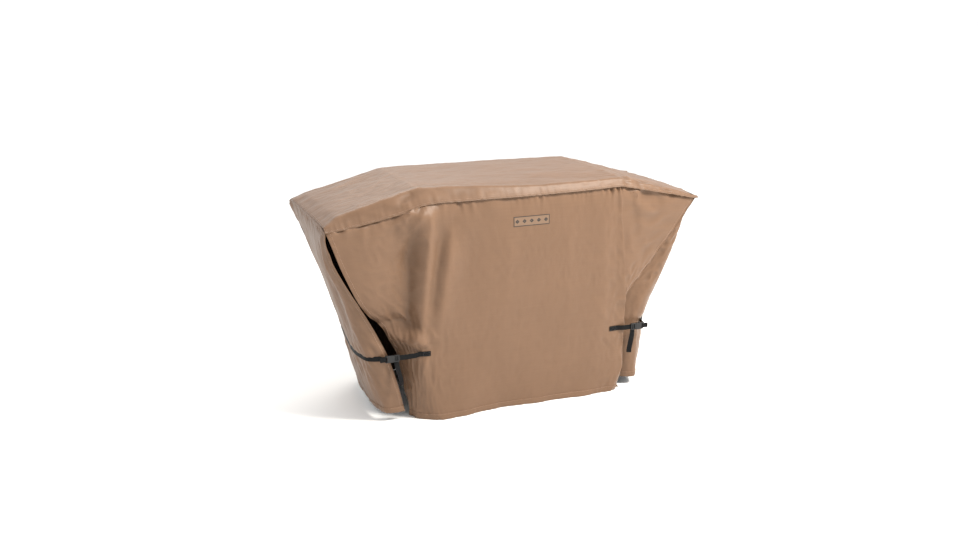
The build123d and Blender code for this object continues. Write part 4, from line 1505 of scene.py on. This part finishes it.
@dataclass
class EndPanel:
    """One end panel, from the top's end seam to its hem, drawn in where its strap gathers it."""
    end: End
    seam: list[Place]
    levels: list[tuple[float, list[Plan]]]
    shape: tuple[int, int] = (170, 170)
    thickness: float = CLOTH_THICKNESS
    soft: float = 0.026
    crisp: float = 0.008
    top_band: float = 0.020
    groove: float = 0.0030     # how deep the strap sinks into the cloth
    gather: float = 0.0020     # height of the gathers above and below the strap
    crumple: float = 0.0004    # height of the crumpling of the free edges
    sag: float = 0.0009        # height of the long waves
    ripple: float = 0.0003     # height of the short waves
    pucker: float = 0.0007     # height of the puckers below the seam
    crinkled: float = 0.0010   # height of the sharp small creases

    def surface(self, shop: Workshop) -> Surface:
        """The outer skin: the net hung, folded, and drawn in by its strap."""
        net = np.array([self.seam] + [[(x, y, z) for x, y in line] for z, line in self.levels])
        points, draw = draped(net, self.shape, self.soft, self.crisp, END_CREASES[self.end],
                              shop.rng(7 + self.end.value))
        if self.end is End.LEFT:
            points = points[:, ::-1]
        y, z = points[..., 1], points[..., 2]
        heights = sum(fold.heights(y, z) for fold in END_FOLDS[self.end])
        heights = heights + self.sag * draw.waves(.25, .09)
        heights = heights + self.ripple * draw.waves(.06, .04)
        from_strap = z - STRAP_HEIGHT
        heights = heights + self.gather * draw.waves(.14, .034) * np.exp(-(from_strap / 0.09) ** 2)
        heights = heights + self.crinkled * draw.crinkles(.11, .05) * (
            0.5 + np.exp(-(from_strap / 0.12) ** 2))
        near_edge = np.exp(-((0.27 - np.abs(y)) / 0.03) ** 2) * smoothstep((z - .36) / .08)
        crumples = draw.crinkles(.06, .05)
        heights = heights + self.crumple * crumples * near_edge * smoothstep((.76 - z) / .08)
        down = np.arange(self.shape[0])[:, None] * draw.row_gap
        puckers = draw.waves(.15, .028)
        heights = heights + self.pucker * puckers * np.exp(-down / 0.04) * smoothstep(down / 0.015)
        # The strap draws a groove, in which the folds are pressed flat.
        pulled = np.exp(-(from_strap / 0.015) ** 2)
        heights = heights * (1 - 0.7 * pulled) - self.groove * pulled
        heights = heights * (0.15 + 0.85 * smoothstep(down / 0.02))
        return Surface(points, proud(heights, draw.row_gap)).pushed(heights)

    def build(self, shop: Workshop) -> Surface:
        """The cloth, its band below the seam, its bound edges and its hem."""
        word, body = self.end.word, f"{self.end.word}_flap"
        surface = self.surface(shop)
        cloth = cloth_piece(f"{word}_end_cloth", surface, self.thickness, shop.cloth, shop.backing)
        shop.flex(cloth, self.end, "cloth", f"{word}_end_panel")
        swell = 0.0007 + 0.0006 * np.sin(np.linspace(0.0, math.pi, 7))[:, None]
        band = surface.band(Edge.TOP, 0.001, self.top_band, 7).pushed(swell)
        band = cloth_piece(f"{word}_top_band", band, 0.0016, shop.cloth)
        shop.flex(band, self.end, "cloth", f"{word}_end_top_band")
        hem = hem_piece(f"{word}_end_hem", surface, shop.cloth, shop.backing)
        shop.hang(hem, body, "cloth", f"{word}_end_hem_band")
        lifted = surface.pushed(0.0010)
        lines = [lifted.line(Edge.TOP, 0.004), lifted.line(Edge.TOP, self.top_band - 0.002),
                 surface.line(Edge.LEFT, 0.012), surface.line(Edge.RIGHT, 0.012)]
        stitches = stitch_piece(f"{word}_end_topstitching", lines, shop.cloth_thread)
        shop.flex(stitches, self.end, "thread")
        stitches = hem_stitches(f"{word}_end_hem_stitches", surface, shop.cloth_thread)
        shop.hang(stitches, body, "thread")
        for edge, side in self.free_edges():
            roll = rolled_edge(f"{side.word}_{word}_end_rolled_edge", surface, edge, shop.cloth)
            shop.flex(roll, self.end, "cloth")
        return surface

    def free_edges(self) -> list[tuple[Edge, Side]]:
        """The panel's two free edges, seen from outside, each with its side of the cover."""
        if self.end is End.LEFT:
            return [(Edge.LEFT, Side.REAR), (Edge.RIGHT, Side.FRONT)]
        return [(Edge.LEFT, Side.FRONT), (Edge.RIGHT, Side.REAR)]


# ---- straps and buckles ----------------------------------------------------------------------------
@dataclass
class EndStrap:
    """The strap round an end panel, from the bar of its front socket to the bar of its rear one."""
    end: End
    width: float = WEBBING_WIDTH
    thickness: float = WEBBING_THICKNESS
    bar: float = 0.0030        # thickness and width of a socket's bar
    bar_slot: float = 0.0050
    lap: float = 0.026         # length of the end that is folded back round the bar
    lead: float = 0.018        # from a socket to where the strap lies on the panel

    def build(self, shop: Workshop, panel: Surface) -> None:
        """Webbing laid on the panel's face at the height of the buckles."""
        word = self.end.word
        sockets = [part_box(f"{side.word}_{word}_buckle_socket") for side in Side]
        height = float((sockets[0][0][2] + sockets[0][1][2]) / 2)
        line, normals = panel.level(height)
        line = line + normals * (self.thickness / 2 + STRAP_GAP)
        if line[0, 1] > line[-1, 1]:
            line = line[::-1]
        socket_end = max(abs(float(sockets[0][0][0])), abs(float(sockets[0][1][0])))
        inner = line[np.abs(line[:, 0]) > socket_end + self.lead]
        front, rear = [self.round_bar(box, side, height) for box, side in zip(sockets, Side)]
        corners = np.vstack([front, inner, rear[::-1]])
        corners[:, 2] = height
        path = rounded_path(corners, STRAP_STEP, 0.0012)
        # Between the buckles the strap is stiff, and bridges the small gathers of the cloth.
        middle = softening(len(path), 0.008 / STRAP_STEP) @ path
        reach = np.minimum(np.arange(len(path)), np.arange(len(path))[::-1]) * STRAP_STEP
        share = smoothstep((reach - 0.055) / 0.02)[:, None]
        path = path * (1 - share) + middle * share
        strap = strap_piece(f"{word}_end_strap", path, UP, self.width, self.thickness,
                            shop.webbing)
        shop.hang(strap, f"{word}_flap", "webbing", f"{word}_end_webbing")
        for side in Side:
            shop.dress(f"{side.word}_{word}_buckle_socket", shop.acetal)

    def round_bar(self, box: tuple, side: Side, height: float) -> Array:
        """The path round a socket's bar: the lap outside, through the slot, and away inside.

        Args:
            box: Lowest and highest corner of the socket.
            side: Front or rear.
            height: Of the strap's middle.

        Returns:
            Points from the end of the lap to the run towards the panel.
        """
        low, high = box
        across = self.end.value
        outer = max(abs(float(low[0])), abs(float(high[0])))
        slot = outer - self.bar - self.bar_slot / 2
        middle = side.value * abs(float(low[1] + high[1])) / 2
        fold = side.value * (self.bar / 2 + 0.0004 + self.thickness / 2)
        plan = [(slot + self.lap, middle + fold * 1.3), (slot + 0.016, middle + fold),
                (slot + 0.0015, middle + fold), (slot - 0.0004, middle + fold * 0.4),
                (slot - 0.0004, middle - fold * 0.4), (slot + 0.0015, middle - fold),
                (slot + 0.013, middle - fold)]
        return np.array([(across * x, y, height) for x, y in plan])


@dataclass
class CornerStrap:
    """One corner's strap: the tab sewn to the drop panel, the buckle's plug, and the loose tail."""
    side: Side
    end: End
    width: float = WEBBING_WIDTH
    thickness: float = WEBBING_THICKNESS
    sewn: float = 0.032
    rise: float = 0.030        # length over which the tab leaves the panel
    inner: float = 0.3         # how far from the middle the panel's line is read
    sway: float = 0.018        # how far the tail's end hangs towards the middle
    lift: float = 0.007        # how far the tail's end hangs clear of the cloth
    twist: float = 0.45        # how far the tail turns, in radians

    def build(self, shop: Workshop, panel: Surface) -> None:
        """Tab, box stitching, tail and plug.

        The tab lies on the panel where it is sewn, then leaves it smoothly for the plug's bar, and
        is never deeper than the panel's face.

        Args:
            shop: The frame and the finishes.
            panel: The outer skin of the front or rear panel.
        """
        name = f"{self.side.word}_{self.end.word}"
        low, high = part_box(f"{name}_tab_webbing")
        height = float(low[2] + high[2]) / 2
        sewn_end, free_end = sorted((abs(float(low[0])), abs(float(high[0]))))
        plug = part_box(f"{name}_buckle_plug")
        strap_y = abs(float(plug[0][1] + plug[1][1])) / 2
        line, _ = panel.level(height)
        beside = line[:, 0] * self.end.value
        near = (beside > self.inner) & (beside < sewn_end + 0.06)
        order = np.argsort(beside[near])
        along = np.linspace(sewn_end, free_end, 90)
        face = np.interp(along, beside[near][order], np.abs(line[near][order, 1]))
        face = softening(len(face), 3.0) @ face + self.thickness / 2 + STRAP_GAP
        leave = smoothstep((along - sewn_end - self.sewn) / self.rise)
        depth = np.maximum(face * (1 - leave) + strap_y * leave, face)
        depth = np.where(along > free_end - 0.02, strap_y, softening(len(depth), 3.0) @ depth)
        path = np.stack([along * self.end.value, depth * self.side.value,
                         np.full_like(along, height)], axis=-1)
        tab = strap_piece(f"{name}_tab", path, UP, self.width, self.thickness, shop.webbing)
        shop.hang(tab, "cover", "webbing", f"{name}_tab_webbing")
        self.box_stitches(shop, name, path, along - sewn_end, height)
        self.tail(shop, name)
        shop.dress(f"{name}_buckle_plug", shop.acetal)

    def box_stitches(self, shop: Workshop, name: str, path: Array, reached: Array,
                     height: float) -> None:
        """A sewn box with a cross in it, on the outer face of the tab.

        Args:
            shop: The frame and the finishes.
            name: The corner, in the names of pieces.
            path: Middle of the tab.
            reached: Distance of each of its points from the sewn end.
            height: Of the tab's middle.
        """
        out = np.array([0.0, float(self.side.value), 0.0])
        margin, half = 0.0035, self.width / 2 - 0.003
        near, far = margin, self.sewn - margin
        corners = [(near, half), (far, half), (far, -half), (near, -half), (near, half),
                   (far, -half), (far, half), (near, -half)]
        lines = []
        for (a, b), (c, d) in zip(corners, corners[1:]):
            at = np.linspace(a, c, 12)
            points = sampled(path, reached, at)
            points[:, 2] = height + np.linspace(b, d, 12)
            points = points + out * (self.thickness / 2)
            lines.append((points, np.broadcast_to(out, points.shape)))
        piece = stitch_piece(f"{name}_box_stitches", lines, shop.black_thread, BOX_STITCH)
        shop.hang(piece, "cover", "thread", f"{name}_tab_stitching")

    def tail(self, shop: Workshop, name: str) -> None:
        """The loose end: over the plug's face, then down, swaying in and turning a little."""
        low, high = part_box(f"{name}_tail_webbing")
        x, y = float(low[0] + high[0]) / 2, float(low[1] + high[1]) / 2
        share = np.linspace(0.0, 1.0, 70)
        fall = smoothstep(share)
        path = np.stack([x - self.end.value * self.sway * fall ** 1.5,
                         y + self.side.value * self.lift * fall,
                         float(high[2]) - (float(high[2] - low[2])) * share], axis=-1)
        turn = self.twist * fall * self.end.value * self.side.value
        side = np.stack([np.cos(turn), np.sin(turn), np.zeros_like(turn)], axis=-1)
        piece = strap_piece(f"{name}_tail", path, side, self.width, self.thickness, shop.webbing)
        shop.hang(piece, f"{name}_plug", "webbing", f"{name}_tail_webbing")


# ---- the studio ----------------------------------------------------------------------------------
@dataclass(frozen=True)
class Lamp:
    """A soft box that points at a place."""
    name: str
    place: Place
    aim: Place
    size: float
    power: float
    colour: str = "#fffaf2"    # slightly warm


@dataclass
class Studio:
    """Pale floor, soft lights and the camera."""
    camera_place: Place = (-1.648, -4.074, 1.668)
    yaw: float = math.radians(21.59)
    pitch: float = math.radians(15.26)
    roll: float = math.radians(-0.35)
    lens: float = 40.41
    floor_half: float = 30.0
    ambient: float = 1.08
    lamps: list[Lamp] = field(default_factory=lambda: [
        Lamp("front", (1.6, -2.2, 3.2), (0.3, -0.3, 0.5), 0.9, 225.0),
        Lamp("back", (-0.2, 1.6, 3.0), (0.0, 0.0, 0.8), 1.4, 38.0),
    ])

    def build(self) -> None:
        """Floor, lamps, ambient light and camera."""
        floor = PaperSweep().material()
        corners = np.array([(-1, -1, 0), (1, -1, 0), (1, 1, 0), (-1, 1, 0)]) * self.floor_half
        plane = make_object("studio_floor", corners, [np.array([[0, 1, 2, 3]])], [floor])
        for lamp in self.lamps:
            data = bpy.data.lights.new(lamp.name, "AREA")
            data.energy, data.size, data.color = lamp.power, lamp.size, linear(lamp.colour)[:3]
            holder = bpy.data.objects.new(lamp.name, data)
            aim = Vector(lamp.aim) - Vector(lamp.place)
            holder.matrix_world = (Matrix.Translation(lamp.place)
                                   @ aim.to_track_quat("-Z", "Y").to_matrix().to_4x4())
            bpy.context.scene.collection.objects.link(holder)
        world = bpy.data.worlds.new("studio")
        bpy.context.scene.world = world
        world.use_nodes = True
        background = world.node_tree.nodes["Background"]
        background.inputs["Color"].default_value = (1.0, 1.0, 1.0, 1.0)
        background.inputs["Strength"].default_value = self.ambient
        self.place_camera()
        bpy.context.scene.view_settings.view_transform = "Standard"

    def place_camera(self) -> None:
        """Camera turned right by its yaw, down by its pitch, and rolled about its own axis."""
        ahead = Vector((math.sin(self.yaw) * math.cos(self.pitch),
                        math.cos(self.yaw) * math.cos(self.pitch), -math.sin(self.pitch)))
        level = Vector((math.cos(self.yaw), -math.sin(self.yaw), 0.0))
        above = level.cross(ahead)
        right = level * math.cos(self.roll) + above * math.sin(self.roll)
        up = above * math.cos(self.roll) - level * math.sin(self.roll)
        matrix = Matrix((right, up, -ahead)).transposed().to_4x4()
        matrix.translation = Vector(self.camera_place)
        data = bpy.data.cameras.new("camera")
        data.lens = self.lens
        camera = bpy.data.objects.new("camera", data)
        camera.matrix_world = matrix
        bpy.context.scene.collection.objects.link(camera)
        bpy.context.scene.camera = camera


def main() -> None:
    """Build the cover on its frame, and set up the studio."""
    logging.basicConfig(level=logging.INFO, format="%(message)s")
    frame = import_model()
    shop = Workshop(
        frame, CoatedWeave().material(), DarkBacking().material(), Webbing().material(),
        MouldedAcetal().material(),
        BondedThread("tan_bonded_thread", "#7d5f4a", "#a78872").material(),
        BondedThread("black_bonded_thread", "#0b0b0c", "#26262a").material(),
        WovenLabel().material())
    top = TopPanel().build(shop)
    TopSeam().build(shop, top)
    front = DropPanel(Side.FRONT, FRONT_FOLDS).build(shop)
    rear = DropPanel(Side.REAR, REAR_FOLDS).build(shop)
    BarTacks().build(shop, [front, rear])
    LabelPatch().build(shop, front)
    ends = {End.LEFT: (LEFT_END_SEAM, LEFT_END_LEVELS), End.RIGHT: (RIGHT_END_SEAM, RIGHT_END_LEVELS)}
    for end, (seam, levels) in ends.items():
        panel = EndPanel(end, seam, levels, crumple=CRUMPLE[end]).build(shop)
        EndStrap(end).build(shop, panel)
    for side, drop in ((Side.FRONT, front), (Side.REAR, rear)):
        for end in End:
            CornerStrap(side, end).build(shop, drop)
    Studio().build()


if __name__ == "__main__":
    main()
